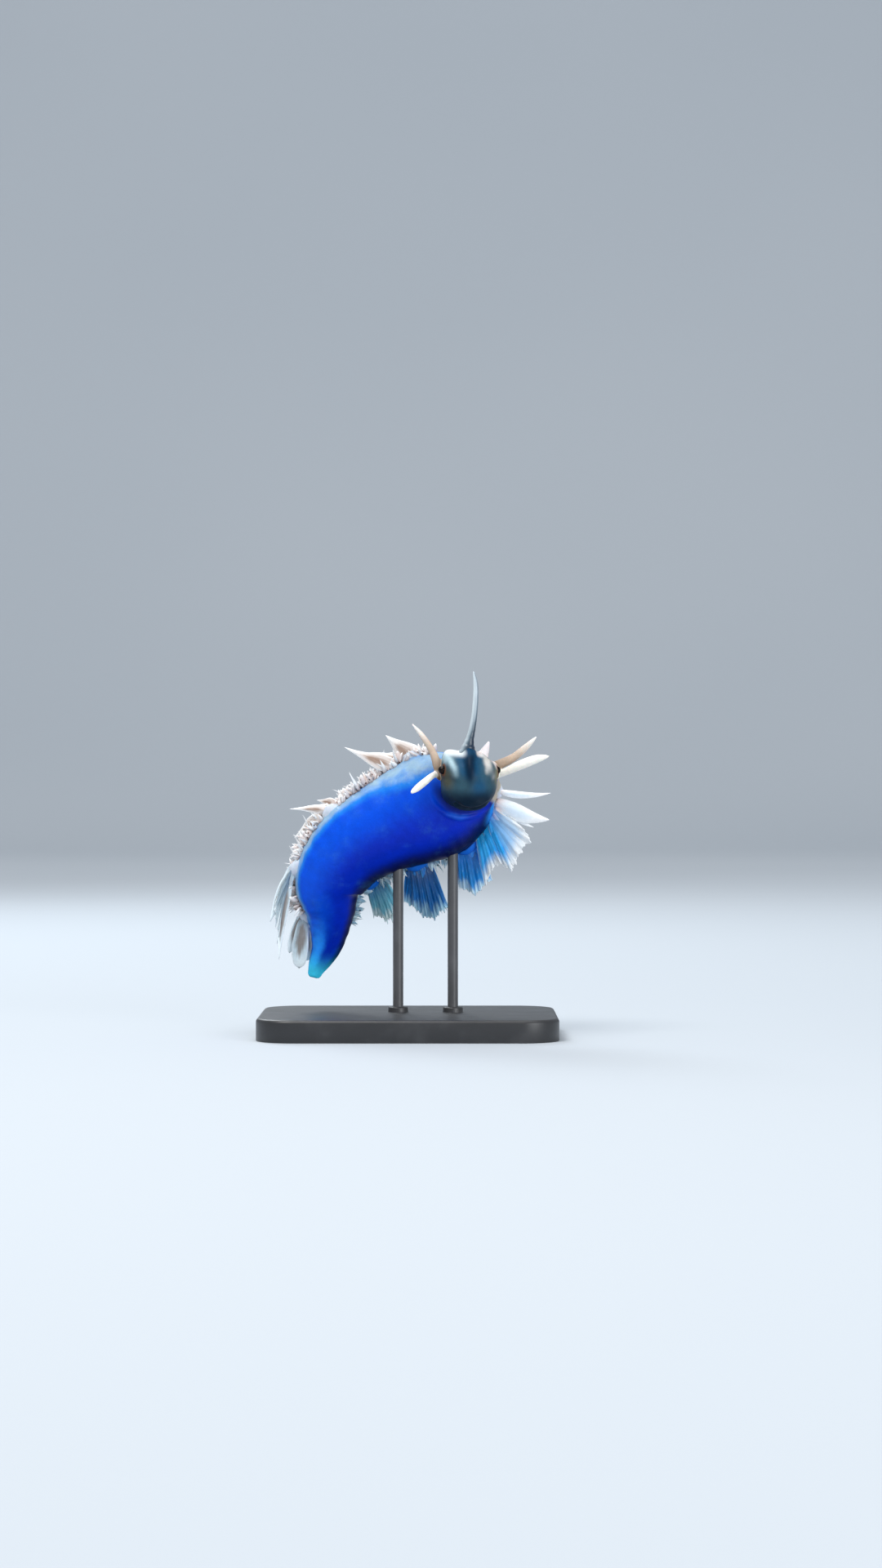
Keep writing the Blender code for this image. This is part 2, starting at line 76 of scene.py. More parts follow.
# The head, in mm and degrees
HEAD_CENTRE = np.array((8.1, -6.3, 34.3))
HEAD_HALF_WIDTH = 3.7
HEAD_HALF_HEIGHT = 3.85
HEAD_FRONT = 5.0
HEAD_BACK = 6.0
HEAD_PITCH = math.radians(8)
HEAD_YAW = math.radians(7)
HEAD_SQUARE = 0.78
CHIN_NARROWING = 0.16
HEAD_SEGMENTS = 160
HEAD_RINGS = 130
EYE_PLACE = (110, 160)
EYE_RADIUS = 0.57
EYE_SUNK = (-0.14, 0.22)  # the right one stands out, the left one lies in its socket
NAPE_PLACE = (84, 68)  # of the small spike behind the brow
NAPE_AIM = (0.45, 0.15, 1.0)
NAPE_LENGTH = 2.4

# The fold of the foot's front edge under the chin: x and z in mm, then half its width
COLLAR = (
    (2.6, 33.4, 0.2),
    (3.4, 31.4, 0.34),
    (4.9, 29.9, 0.42),
    (6.9, 29.3, 0.45),
    (9.0, 29.6, 0.42),
    (10.9, 30.9, 0.34),
    (11.9, 32.4, 0.2),
)

# Feelers on the head: their points in mm, then half their width there
FEELERS = {
    "rhinophore_right": (
        (4.7, -6.9, 34.4, 0.8),
        (4.0, -7.05, 36.1, 0.66),
        (3.3, -6.9, 38.0, 0.5),
        (1.9, -6.4, 40.2, 0.38),
        (0.45, -5.9, 41.9, 0.12),
    ),
    "rhinophore_left": (
        (10.3, -5.6, 35.3, 0.75),
        (12.0, -5.5, 36.3, 0.68),
        (14.0, -5.6, 37.3, 0.56),
        (15.8, -5.4, 38.8, 0.44),
        (17.2, -5.0, 40.2, 0.12),
    ),
    "oral_tentacle_right": (
        (5.4, -6.6, 35.0, 0.45),
        (3.7, -7.3, 35.1, 0.42),
        (2.3, -8.4, 34.1, 0.5),
        (1.2, -9.3, 33.2, 0.46),
        (0.4, -9.9, 32.6, 0.2),
    ),
    "oral_tentacle_left": (
        (10.8, -5.6, 34.6, 0.5),
        (12.9, -6.4, 35.4, 0.52),
        (14.9, -7.2, 36.3, 0.64),
        (17.0, -7.6, 37.1, 0.58),
        (18.8, -7.6, 37.5, 0.15),
    ),
}
FEELER_WAY = np.array((0.3, 0, 1))
HORN = (
    (7.9, -7.4, 35.4, 1.0),
    (7.85, -8.1, 37.0, 1.45),
    (7.95, -8.45, 38.3, 1.0),
    (8.15, -8.55, 39.5, 0.6),
    (8.5, -8.6, 41.0, 0.44),
    (8.8, -8.6, 42.9, 0.38),
    (8.98, -8.5, 45.4, 0.36),
    (8.95, -8.35, 47.2, 0.29),
    (8.7, -8.2, 48.7, 0.1),
)

# Arms: station and angle round the body, stalk and half the palm's width in mm, how many finer cerata
# stand between two leading ones, its finish, and the leading cerata: tip in mm, then half the width
ARMS = {
    "left_1": (
        7.96, 20, 0.1, 1.15, 1, "bright",
        (
            ((19.2, -1.2, 32.6), 0.5),
            ((19.0, -1.6, 29.0), 1.25),
            ((16.6, -0.9, 26.0), 0.95),
            ((14.1, -0.2, 22.0), 0.9),
            ((12.2, 0.6, 22.8), 0.8),
            ((10.4, 1.4, 19.8), 0.6),
        ),
    ),
    "left_2": (
        6.3, 2, 0.3, 1.9, 5, "azure",
        (((11.5, 5.6, 20.4), 0.6), ((9.2, 5.0, 18.3), 0.75), ((7.0, 5.6, 19.2), 0.7)),
    ),
    "left_3": (
        5.22, 0, 0.3, 2.0, 5, "deep",
        (
            ((5.6, 6.4, 16.6), 0.7),
            ((3.7, 6.0, 14.9), 0.85),
            ((2.1, 6.4, 15.2), 0.75),
            ((-0.7, 7.0, 17.4), 0.7),
        ),
    ),
    "left_4": (
        3.6, -4, 0.3, 1.7, 5, "teal",
        (((-0.9, 7.0, 15.0), 0.6), ((-2.8, 6.4, 14.4), 0.85), ((-4.8, 7.4, 15.2), 0.55)),
    ),
    "right_1": (
        6.02, 186, 0.2, 2.0, 1, "cream",
        (
            ((2.4, 5.6, 38.0), 0.7),
            ((-3.1, 0.6, 40.4), 1.75),
            ((-5.4, 5.6, 37.6), 0.6),
            ((-8.7, 0.9, 38.8), 1.15),
        ),
    ),
    "right_2": (
        4.22, 184, 0.2, 1.7, 1, "cream",
        (((-12.6, 6.0, 31.6), 0.7), ((-16.2, 2.4, 30.4), 0.62), ((-15.6, 4.2, 26.4), 0.9)),
    ),
    "right_3": (
        3.1, 178, 0.3, 1.6, 2, "ice",
        (((-17.6, 5.0, 19.4), 0.8), ((-18.9, 3.4, 14.8), 1.3), ((-17.6, 2.8, 9.6), 1.05)),
    ),
    "right_4": (
        1.9, 188, 0.3, 1.3, 2, "ice",
        (((-16.4, 7.6, 10.6), 0.6), ((-15.0, 6.2, 8.6), 1.15), ((-13.9, 7.2, 9.6), 0.8)),
    ),
}
STALK_SUNK = 1.4
PALM_SHAPE = ((-0.3, 0.84), (0.1, 0.76), (0.5, 0.5), (0.8, 0.12))
PALM_FLAT = 0.5
# How far some of the leading cerata's roots are moved, and how far they bend, in mm
BENDS = {("right_1", 3): ((-0.3, 0.0, -0.9), (0.0, 0.0, -0.5)), ("right_1", 1): ((0.0, 0.0, -0.8), (0.0, 0.0, 0.0))}
FILL_LENGTH = (0.5, 0.86)
WEBBED_LENGTH = (0.86, 0.99)
FILL_HALF = 0.52
FILL_DEPTH = 1.3
CERAS_THICK = 0.3
# Where an arm's cerata spring from along the body's edge: the stations and angles of the first and last
FEET = {"left_1": ((8.0, 24), (6.65, 6))}
# Sheets of skin between an arm's leading cerata: how far out they reach, from which ceras to which, and what
# share of that they reach at the first
WEBS = {
    "left_1": (0.96, 1.5, 5.0, 0.5),
    "left_2": (0.92, 0.0, 2.0, 1.0),
    "left_3": (0.93, 0.0, 3.0, 1.0),
    "left_4": (0.86, 0.0, 2.0, 1.0),
    "right_3": (0.74, 0.0, 2.0, 1.0),
}

# The frill's buds: rows by their angle round the right side, mirrored on the left
FRILL_ROWS = (181, 187, 193, 199, 205)
FRILL_STATIONS = (1.7, 6.6)
FRILL_STEP = 0.08
BUD_LENGTH = (0.7, 2.3)
BUD_HALF = (0.2, 0.46)
FRILL_SPIKES = 0.07  # how many of the buds are long and pointed

# The stand, in mm
BASE_SIZE = (40, 28, 3)
BASE_CORNER = 5
BASE_EDGE = 0.5
ROD_RADIUS = 0.7
ROD_PLACES = ((-1.4, 2.0), (6.0, 1.6))
ROD_TOP = 27.0

WEB_AHEAD = 0.35  # mm that a web's edge stands before its cerata
WEB_COLUMNS = 48
WEB_ROWS = 44

# Sizes of the skin's mesh
VOXEL = 0.15 * MM
SKIN_SMOOTHING = 5

draw = random.Random(SEED)


# Meshes


def deselect():
    bpy.ops.object.select_all(action="DESELECT")


def only(ob):
    """Makes one object the selected, active one."""
    deselect()
    ob.select_set(True)
    bpy.context.view_layer.objects.active = ob


def places(ob):
    found = np.empty(len(ob.data.vertices) * 3)
    ob.data.vertices.foreach_get("co", found)
    return found.reshape(-1, 3)


def place(ob, points):
    ob.data.vertices.foreach_set("co", np.asarray(points, float).ravel())
    ob.data.update()


def normals(ob):
    found = np.empty(len(ob.data.vertices) * 3)
    ob.data.vertices.foreach_get("normal", found)
    return found.reshape(-1, 3)


def outwards(ob):
    """Turns every face of closed shapes outwards."""
    only(ob)
    bpy.ops.object.mode_set(mode="EDIT")
    bpy.ops.mesh.select_all(action="SELECT")
    bpy.ops.mesh.normals_make_consistent(inside=False)
    bpy.ops.object.mode_set(mode="OBJECT")


def finish_with(ob, kind, **settings):
    """Adds a modifier and applies it."""
    only(ob)
    step = ob.modifiers.new(kind.lower(), kind)
    for key, value in settings.items():
        setattr(step, key, value)
    bpy.ops.object.modifier_apply(modifier=step.name)


def join(name, obs):
    deselect()
    for ob in obs:
        ob.select_set(True)
    bpy.context.view_layer.objects.active = obs[0]
    bpy.ops.object.join()
    obs[0].name = obs[0].data.name = name
    return obs[0]


def mask(ob, name, values):
    """A number for each vertex, which a finish reads."""
    layer = ob.data.attributes.get(name) or ob.data.attributes.new(name, "FLOAT", "POINT")
    layer.data.foreach_set("value", np.asarray(values, np.float32))


def ball_grid(name, segments, rings):
    """A ball to be shaped, with each vertex's way along it, 0 to 1, and its angle round it."""
    deselect()
    bpy.ops.mesh.primitive_uv_sphere_add(segments=segments, ring_count=rings, radius=1)
    ball = bpy.context.object
    ball.name = ball.data.name = name
    co = places(ball)
    return ball, np.arccos(np.clip(-co[:, 2], -1, 1)) / math.pi, np.arctan2(co[:, 1], co[:, 0])


def spread(ob, values, times):
    """Numbers on the vertices, averaged with their neighbours' a few times."""
    ends = np.empty(len(ob.data.edges) * 2, np.int32)
    ob.data.edges.foreach_get("vertices", ends)
    a, b = ends[::2], ends[1::2]
    count = np.bincount(ends, minlength=len(values)) + 1.0
    for _ in range(times):
        total = values.copy()
        for k in range(values.shape[1]):
            total[:, k] += np.bincount(a, values[b, k], len(values)) + np.bincount(b, values[a, k], len(values))
        values = total / count[:, None]
    return values


# Curves and shapes


def unit(v):
    return v / np.linalg.norm(v, axis=-1, keepdims=True)


def smooth(value, low, high):
    """0 below low, 1 above high, and a soft step between them."""
    share = np.clip((value - low) / (high - low), 0, 1)
    return share * share * (3 - 2 * share)


def along(rows, t):
    """The rows' values at stations t, on a smooth curve through them."""
    rows = np.asarray(rows, float)
    t = np.clip(np.atleast_1d(t), 0, len(rows) - 1)
    i = np.clip(np.floor(t).astype(int), 0, len(rows) - 2)
    f = (t - i)[:, None]
    a, b = rows[i], rows[i + 1]
    before = np.where((i > 0)[:, None], rows[np.maximum(i - 1, 0)], 2 * a - b)
    after = np.where((i + 2 < len(rows))[:, None], rows[np.minimum(i + 2, len(rows) - 1)], 2 * b - a)
    square = 2 * before - 5 * a + 4 * b - after
    cube = 3 * a - before - 3 * b + after
    return 0.5 * (2 * a + (b - before) * f + square * f**2 + cube * f**3)


def heading(rows, t, step):
    """The way that the curve through the rows runs at stations t."""
    return unit(along(rows, t + step)[:, :3] - along(rows, t - step)[:, :3])


def section(t):
    """The body at stations t: its centre, its ways forwards, left and to its belly, and its half sizes."""
    row = along(SPINE, t)
    forward = heading(SPINE, np.atleast_1d(t), 0.01)
    belly = np.array((0, -1.0, 0)) - forward * -forward[:, 1:2]
    belly = unit(belly)
    belly = belly * math.cos(BELLY_ROLL) + np.cross(forward, belly) * math.sin(BELLY_ROLL)
    left = np.cross(forward, belly)
    return row[:, :3] * MM, forward, left, belly, row[:, 3:4] * MM, row[:, 4:5] * MM


def body_point(t, angle, grow=0.0):
    """Points on the body: 0 degrees is its left side, 90 its belly, 180 its right side and 270 its back."""
    centre, _, left, belly, width, depth = section(t)
    a = np.radians(np.atleast_1d(angle))[:, None]
    return centre + left * (width + grow) * np.cos(a) + belly * (depth + grow) * np.sin(a)


def body_normal(t, angle):
    _, _, left, belly, width, depth = section(t)
    a = np.radians(np.atleast_1d(angle))[:, None]
    return unit(left * depth * np.cos(a) + belly * width * np.sin(a))


def head_axes():
    level = math.cos(HEAD_PITCH)
    forward = np.array((math.sin(HEAD_YAW) * level, -math.cos(HEAD_YAW) * level, -math.sin(HEAD_PITCH)))
    left = np.array((math.cos(HEAD_YAW), math.sin(HEAD_YAW), 0))
    return forward, left, np.cross(forward, left)


def squared(value):
    return np.sign(value) * np.abs(value) ** HEAD_SQUARE


def head_point(ring, around):
    """Points on the head. Ring is 0 degrees at its back and 180 at its snout, around 0 at its left and 90 on top."""
    forward, left, up = head_axes()
    a, r = np.radians(np.atleast_1d(around)), np.radians(np.atleast_1d(ring))
    size = squared(np.sin(r))
    side, top = squared(np.cos(a)), squared(np.sin(a))
    ahead = -np.cos(r)
    reach = np.where(ahead > 0, HEAD_FRONT, HEAD_BACK)
    width = HEAD_HALF_WIDTH * (1 + CHIN_NARROWING * top)
    return MM * (
        HEAD_CENTRE
        + left * (width * size * side)[:, None]
        + up * (HEAD_HALF_HEIGHT * size * top)[:, None]
        + forward * (reach * ahead)[:, None]
    )


def head_normal(ring, around):
    step = 2.0
    a = head_point(ring + step, around) - head_point(ring - step, around)
    b = head_point(ring, around + step) - head_point(ring, around - step)
    normal = unit(np.cross(a, b))[0]
    outside = head_point(ring, around)[0] - HEAD_CENTRE * MM
    return normal if normal @ outside > 0 else -normal


def face_place(points):
    """Points as shares of the head's half width to its left, half height up and reach forwards."""
    forward, left, up = head_axes()
    apart = points / MM - HEAD_CENTRE
    return apart @ left / HEAD_HALF_WIDTH, apart @ up / HEAD_HALF_HEIGHT, apart @ forward / HEAD_FRONT


def eye_place(mirror):
    ring, around = EYE_PLACE
    around = 180 - around if mirror else around
    normal = head_normal(ring, around)
    return head_point(ring, around)[0] - normal * EYE_SUNK[mirror] * MM, normal


def tube(name, rows, side, flat=1.0, segments=24, rings=60, thinnest=0.0, blunt=0.06):
    """A tube with round ends on a smooth curve through rows of x, y, z and half width, in mm."""
    ball, share, turn = ball_grid(name, segments, rings)
    rows = np.array(rows, float)
    t = share * (len(rows) - 1)
    row = along(rows, t)
    ahead = heading(rows, t, 0.05)
    across = unit(side - ahead * (ahead @ side)[:, None])
    over = np.cross(ahead, across)
    end = np.clip(np.minimum(share, 1 - share) / blunt, 0, 1)
    half = np.maximum(row[:, 3], thinnest) * np.sqrt(1 - (1 - end) ** 2)
    ring = across * np.cos(turn)[:, None] + over * (flat * np.sin(turn))[:, None]
    place(ball, (row[:, :3] + ring * half[:, None]) * MM)
    return ball, share, turn


# The skin


def body_shell():
    """The body, shaped from a ball, with its station and angle at each vertex."""
    ball, share, turn = ball_grid("body", BODY_SEGMENTS, BODY_RINGS)
    t = np.clip((share - CAP_SHARE) / (1 - 2 * CAP_SHARE), 0, 1) * FRONT
    centre, forward, left, belly, width, depth = section(t)
    tail = np.clip(1 - share / CAP_SHARE, 0, 1)[:, None]
    front = np.clip(1 - (1 - share) / CAP_SHARE, 0, 1)[:, None]
    round_off = np.sqrt(np.clip(1 - (tail + front) ** 2, 0, 1)) * (1 - 0.1 * smooth(0.4 - t, 0, 0.4)[:, None])
    centre = centre + np.array((-0.4, 0, 0)) * MM * smooth(1.0 - t, 0.0, 1.0)[:, None]
    points = centre + forward * MM * (FRONT_CAP * front - TAIL_CAP * tail)
    points += left * width * round_off * np.cos(turn)[:, None]
    points += belly * depth * round_off * np.sin(turn)[:, None]
    place(ball, points)
    outwards(ball)
    side, front_side = np.cos(turn), np.sin(turn)
    edge = np.exp(-(((side + 0.88) / 0.1) ** 2)) * smooth(front_side, 0.05, 0.4)
    inner = np.exp(-(((side - 0.88) / 0.1) ** 2)) * smooth(front_side, 0.05, 0.4)
    folds = np.sin(t * 19 + 1.3 * np.sin(t * 3.1)) * smooth(np.abs(side), 0.35, 0.95)
    swell = 0.16 * edge + 0.12 * inner + 0.035 * folds * smooth(t, 0.5, 1.5)
    place(ball, places(ball) + normals(ball) * (swell * MM)[:, None])
    return ball, t, turn


def stroke(u, v, points, width):
    """1 on a line through points of the face, fading with the distance from it."""
    best = np.full(len(u), 1e9)
    for (au, av), (bu, bv) in zip(points, points[1:]):
        du, dv = bu - au, bv - av
        share = np.clip(((u - au) * du + (v - av) * dv) / (du * du + dv * dv), 0, 1)
        best = np.minimum(best, (u - au - du * share) ** 2 + (v - av - dv * share) ** 2)
    return np.exp(-best / width**2)


def spot(u, v, at_u, at_v, wide, high):
    return np.exp(-(((u - at_u) / wide) ** 2) - ((v - at_v) / high) ** 2)


BROW = ((-0.96, 0.94), (-0.8, 0.8), (-0.69, 0.57), (-0.64, 0.34))
LIPS = ((-0.5, -0.6), (-0.3, -0.78), (0.0, -0.86), (0.3, -0.78), (0.5, -0.6))
RIDGE = ((-0.06, 1.15), (-0.12, 0.7), (-0.16, 0.25), (-0.16, -0.1))
RIGHT_CREST = ((0.26, 1.02), (0.5, 1.0), (0.76, 0.88), (0.97, 0.58))


def head_shell():
    """The head, shaped from a ball, with brows, a groove between them, cheeks, muzzle, lips and lids."""
    ball, share, turn = ball_grid("head_form", HEAD_SEGMENTS, HEAD_RINGS)
    place(ball, head_point(share * 180, np.degrees(turn)))
    outwards(ball)
    points = places(ball)
    u, v, w = face_place(points)
    ahead = smooth(w, 0.0, 0.35)
    swell = (0.24 + 0.5 * smooth(v, 0.1, 1.0)) * stroke(u, v, RIDGE, 0.24) * ahead
    swell -= 0.5 * spot(u, v, 0.82, 0.92, 0.34, 0.3) * smooth(w, -0.9, -0.3)
    swell += 0.75 * spot(u, v, -0.78, 0.92, 0.3, 0.24) * smooth(w, -0.9, -0.3) * (1 - smooth(w, 0.0, 0.5))
    foot = np.hypot(points[:, 0] / MM - HORN[2][0], points[:, 1] / MM - HORN[2][1])
    swell += 0.4 * np.exp(-((foot / 1.5) ** 2)) * smooth(v, 0.4, 0.9)
    swell += 0.45 * spot(u, v, -0.8, -0.55, 0.4, 0.4) * smooth(w, -0.4, 0.0)
    for side, strength in ((-1, 1.0), (1, 0.7)):
        swell += 0.3 * strength * stroke(u * -side, v, BROW, 0.16) * ahead
        swell += 0.34 * spot(u * side, v, 0.55, -0.28, 0.3, 0.3) * ahead
        swell -= 0.22 * spot(u * side, v, 0.8, 0.1, 0.14, 0.2) * ahead
        swell -= 0.26 * spot(u * side, v, 0.3, 0.5, 0.12, 0.4) * ahead
    swell += 0.5 * spot(u, v, 0, -0.42, 0.42, 0.3) * ahead
    swell += 0.16 * stroke(u, v, [(a, b + 0.14) for a, b in LIPS], 0.08) * ahead
    swell += 0.16 * stroke(u, v, [(a, b - 0.14) for a, b in LIPS], 0.08) * ahead
    swell -= 0.24 * stroke(u, v, LIPS, 0.055) * ahead
    for mirror in (False, True):
        eye, _ = eye_place(mirror)
        apart = np.linalg.norm(points - eye, axis=1) / MM
        swell += 0.2 * np.exp(-(((apart - 0.72) / 0.2) ** 2))
        swell -= 0.1 * np.exp(-((apart / 0.4) ** 2))
    place(ball, points + normals(ball) * (swell * MM)[:, None])
    return ball, share, turn


def on_body(shell, x, z):
    """The point of the body that faces the viewer at this x and z, in mm."""
    hit, point, _, _ = shell.ray_cast(Vector((x, -60, z)) * MM, Vector((0, 1, 0)))
    return np.array(point) / MM


def collar(shell):
    """The fold of the foot's front edge, which lies on the body under the chin."""
    rows = []
    for x, z, half in COLLAR:
        spot_on = on_body(shell, x, z)
        rows.append((*(spot_on + (0, 0.12, 0)), half))
    return tube("collar", rows, np.array((0, -1.0, 0.2)), 0.8, 16, 70)[0]


def nape_spike():
    root = head_point(*NAPE_PLACE)[0] / MM - head_normal(*NAPE_PLACE) * 0.7
    tip = root + unit(np.array(NAPE_AIM)) * (NAPE_LENGTH + 0.1)
    middle = root + (tip - root) * 0.5
    rows = ((*root, 0.85), (*middle, 0.52), (*tip, 0.12))
    return tube("nape_form", rows, np.array((1.0, 0, 0)), 0.9, 16, 26, 0.15)


def palm(name, station, angle, stalk, half):
    """An arm's short stalk, whose end widens to a palm."""
    out = body_normal(station, angle)[0]
    root = body_point(station, angle)[0] / MM
    end = root + out * stalk
    rows = [(*(root - out * STALK_SUNK), half * 0.8)]
    rows += [(*(end + out * past), half * share) for past, share in PALM_SHAPE]
    return tube(f"palm_{name}", rows, section(station)[1][0], PALM_FLAT, 28, 40, 0, 0.12)


def make_skin():
    """One seamless skin over the body, the head, its feelers and the arms' palms, with its markings."""
    shell, t, turn = body_shell()
    bpy.context.view_layer.update()
    pieces = [(shell, "body", t / FRONT, turn)]
    pieces.append((collar(shell), "body", None, None))
    pieces.append((head_shell()[0], "head", None, None))
    ob, share, _ = nape_spike()
    pieces.append((ob, "nape", share, None))
    for name, rows in FEELERS.items():
        ob, share, _ = tube(name + "_form", rows, FEELER_WAY, 0.9, 24, 90, 0.17)
        pieces.append((ob, name.split("_")[0], share, None))
    for name, (station, angle, stalk, half, _, look, _) in ARMS.items():
        ob, share, _ = palm(name, station, angle, stalk, half)
        pieces.append((ob, "palm" if look in ("azure", "deep", "teal") else "blush", share, None))
    kinds = ("head", "nape", "rhinophore", "oral", "palm", "blush")
    points, facts = [], []
    for ob, kind, share, _ in pieces:
        co = places(ob)
        points.append(co)
        facts.append(np.zeros((len(co), len(kinds) + 1)))
        if kind in kinds:
            facts[-1][:, kinds.index(kind)] = 1
            facts[-1][:, -1] = share if share is not None else 0
    points, facts = np.concatenate(points), np.concatenate(facts)
    body_points = places(shell)
    body_facts = np.stack([t, np.cos(turn), np.sin(turn)], 1)
    skin = join("skin", [ob for ob, *_ in pieces])
    finish_with(skin, "REMESH", mode="VOXEL", voxel_size=VOXEL)
    finish_with(skin, "SMOOTH", factor=0.5, iterations=SKIN_SMOOTHING)
    near = nearest(points, places(skin))
    found = spread(skin, facts[near], 7)
    near = nearest(body_points, places(skin))
    lie = spread(skin, body_facts[near], 12)
    mark_skin(skin, dict(zip((*kinds, "reach"), found.T)), lie)
    skin.data.shade_smooth()
    return skin


def nearest(points, wanted):
    tree = KDTree(len(points))
    for i, p in enumerate(points):
        tree.insert(p, i)
    tree.balance()
    return np.array([tree.find(p)[1] for p in wanted])


def mark_skin(skin, kinds, lie):
    """Where each colour of the skin lies, as masks, painted shade and painted highlights among them."""
    points = places(skin)
    t, side, front = lie.T
    size = np.maximum(np.hypot(side, front), 1e-6)
    side, front = side / size, front / size
    u, v, w = face_place(points)
    head = smooth(kinds["head"] + kinds["nape"] + kinds["rhinophore"] + kinds["oral"], 0.2, 0.8)
    mask(skin, "face", head)
    back = smooth(-front, -0.12, 0.4)
    mask(skin, "back", back)
    mask(skin, "backline", np.exp(-((side / 0.16) ** 2)) * back * smooth(t, 0.6, 2.0))
    mask(skin, "backedge", smooth(np.abs(side), 0.5, 0.95) * smooth(-front, -0.1, 0.2))
    by_head = smooth(t, 4.9, 5.9)
    wide = 0.3 + 0.1 * smooth(t, 3.0, 5.5) + 0.42 * by_head - 0.3 * smooth(t, 6.5, 7.6)
    margin = smooth(-side, 1.0 - 0.62 * wide, 1.0 - 0.12 * by_head) * smooth(t, 0.6, 2.6) * smooth(front, -0.5, 0.0)
    mask(skin, "margin", margin)
    # Painted shade: the belly's inner side, turned away from the light, is painted dark navy
    mask(skin, "inner", smooth(side, 0.25, 0.95) * smooth(front, -0.3, 0.2))
    # Painted highlight: lighter blue on the front of the belly's outer side, where the light falls
    mask(skin, "lit_side_highlight", smooth(-side, -0.7, 0.85) * smooth(front, -0.3, 0.4) * smooth(t, 0.3, 1.5))
    mask(skin, "chest", smooth(side, 0.5, 0.9) * smooth(t, 6.6, 7.6))
    mask(skin, "rosy", smooth(t, 7.45, 7.85) * smooth(side, -0.2, 0.4))
    mask(skin, "tail", np.clip((1.5 - t) / 1.5, 0, 1) ** 2.4)
    streak = np.exp(-(((side + 0.6) / 0.42) ** 2)) * smooth(front, -0.1, 0.4) * smooth(2.9 - t, 0.0, 2.2)
    mask(skin, "streak", streak)
    mask(skin, "palm", smooth(kinds["palm"], 0.1, 1.0))
    mask(skin, "blush", smooth(kinds["blush"], 0.1, 1.0))
    mask(skin, "reach", kinds["reach"])
    mask(skin, "rhinophore", smooth(kinds["rhinophore"], 0.2, 0.8))
    mask(skin, "tentacle", smooth(kinds["oral"], 0.2, 0.8))
    mask(skin, "nape", smooth(kinds["nape"], 0.2, 0.8))
    ahead = head * smooth(w, -0.35, 0.1)
    off_middle = (u + 0.135 - 0.1 * smooth(v, 0.75, 1.05)) / (1 + 0.25 * smooth(v, 0.4, 0.9))
    down = smooth(v, -0.3, 0.5) * head * smooth(w, -0.6, -0.1)
    mask(skin, "stripe", np.exp(-((off_middle / 0.21) ** 2)) * down * (1 - 0.4 * smooth(v, 0.85, 1.1)))
    mask(skin, "beside", np.exp(-((off_middle / 0.42) ** 2)) * smooth(v, 0.0, 0.5) * down)
    # Painted highlight: a pale streak down the left brow and a patch at its top corner, where light catches the wet
    # ridge
    brow_highlight = stroke(u, v, BROW, 0.2) ** 2 * (0.4 + 0.6 * smooth(v, 0.25, 0.8))
    brow_highlight = np.maximum(brow_highlight, spot(u, v, -0.92, 0.84, 0.25, 0.26) ** 1.5)
    mask(skin, "brow_highlight", brow_highlight * ahead)
    # Painted highlight: soft pale patches on the right of the forehead and cheek
    right_face_highlight = spot(u, v, 0.54, 0.78, 0.22, 0.28) + 0.5 * spot(u, v, 0.68, 0.38, 0.24, 0.34)
    right_face_highlight += 0.4 * spot(u, v, 0.45, 0.42, 0.1, 0.14) + 0.35 * spot(u, v, 0.78, 0.2, 0.14, 0.16)
    mask(skin, "right_face_highlight", right_face_highlight**2 * ahead)
    mask(skin, "olive", spot(u, v, 0.98, 0.25, 0.2, 0.4) * head)
    crest = np.exp(-(((v - 1.04) / 0.17) ** 2)) * smooth(-u, 0.05, 0.35) + spot(u, v, 0.4, 1.0, 0.2, 0.14)
    mask(skin, "crest", crest * head * smooth(w, -0.6, -0.2))
    mask(skin, "right_crest", stroke(u, v, RIGHT_CREST, 0.12) * head * smooth(w, -0.6, -0.2))
    mask(skin, "warm", spot(u, v, -0.9, 0.15, 0.22, 0.4) * head)
    mask(skin, "cool", np.maximum(spot(u, v, 0.2, -0.1, 0.3, 0.42), 0.6 * spot(u, v, 0.3, -0.4, 0.5, 0.3)) * ahead)
    # Painted shade: the face darkens towards the chin, which the light from above leaves in shadow
    mask(skin, "chin", smooth(-v, -0.15, 0.66) * head)
    line = [(x, z) for x, z, _ in COLLAR]
    under = stroke(points[:, 0] / MM, points[:, 2] / MM, line, 0.5) * smooth(-points[:, 1] / MM, 1.0, 3.0)
    mask(skin, "collar", under * (1 - head) * spot(points[:, 0] / MM, 0, 6.6, 0, 2.0, 1.0))
    # Painted shadow: darker navy on the body just under the head, where the chin shades it
    mask(skin, "shade", smooth(1.6 - np.hypot(u, v), 0.0, 0.55) * smooth(-v, -0.2, 0.6) * (1 - head) * smooth(w, -1.7, -1.2))
    lips = stroke(u, v, LIPS, 0.06) * ahead
    mask(skin, "lips", lips)
    rim = np.zeros(len(points))
    for mirror in (False, True):
        eye, _ = eye_place(mirror)
        apart = np.linalg.norm(points - eye, axis=1) / MM
        rim = np.maximum(rim, 0.95 - 0.95 * smooth(apart, 0.6, 1.1))
    mask(skin, "rim", rim)


# Horn and eyes


def make_horn():
    horn, share, turn = tube("tall_horn", HORN, np.array((1.0, 0, 0)), 0.92, 40, 160, 0.1, 0.02)
    ripple = 0.03 * np.sin(share * 90) * smooth(1 - share, 0.35, 0.9) * (1 - smooth(1 - share, 0.9, 1.0))
    place(horn, places(horn) + normals(horn) * (ripple * MM)[:, None])
    mask(horn, "reach", share)
    mask(horn, "sideways", np.cos(turn))
    horn.data.shade_smooth()
    return horn


def make_eye(name, mirror):
    """An eyeball with a raised, clear-fronted pupil ringed by a narrow iris."""
    middle, normal = eye_place(mirror)
    ball, _, _ = ball_grid(name, 48, 32)
    points = places(ball)
    ahead = points @ normal
    bulge = 1 + 0.07 * smooth(ahead, 0.55, 0.95)
    place(ball, middle + points * bulge[:, None] * EYE_RADIUS * MM)
    mask(ball, "ahead", ahead)
    ball.data.shade_smooth()
    return ball


# Cerata


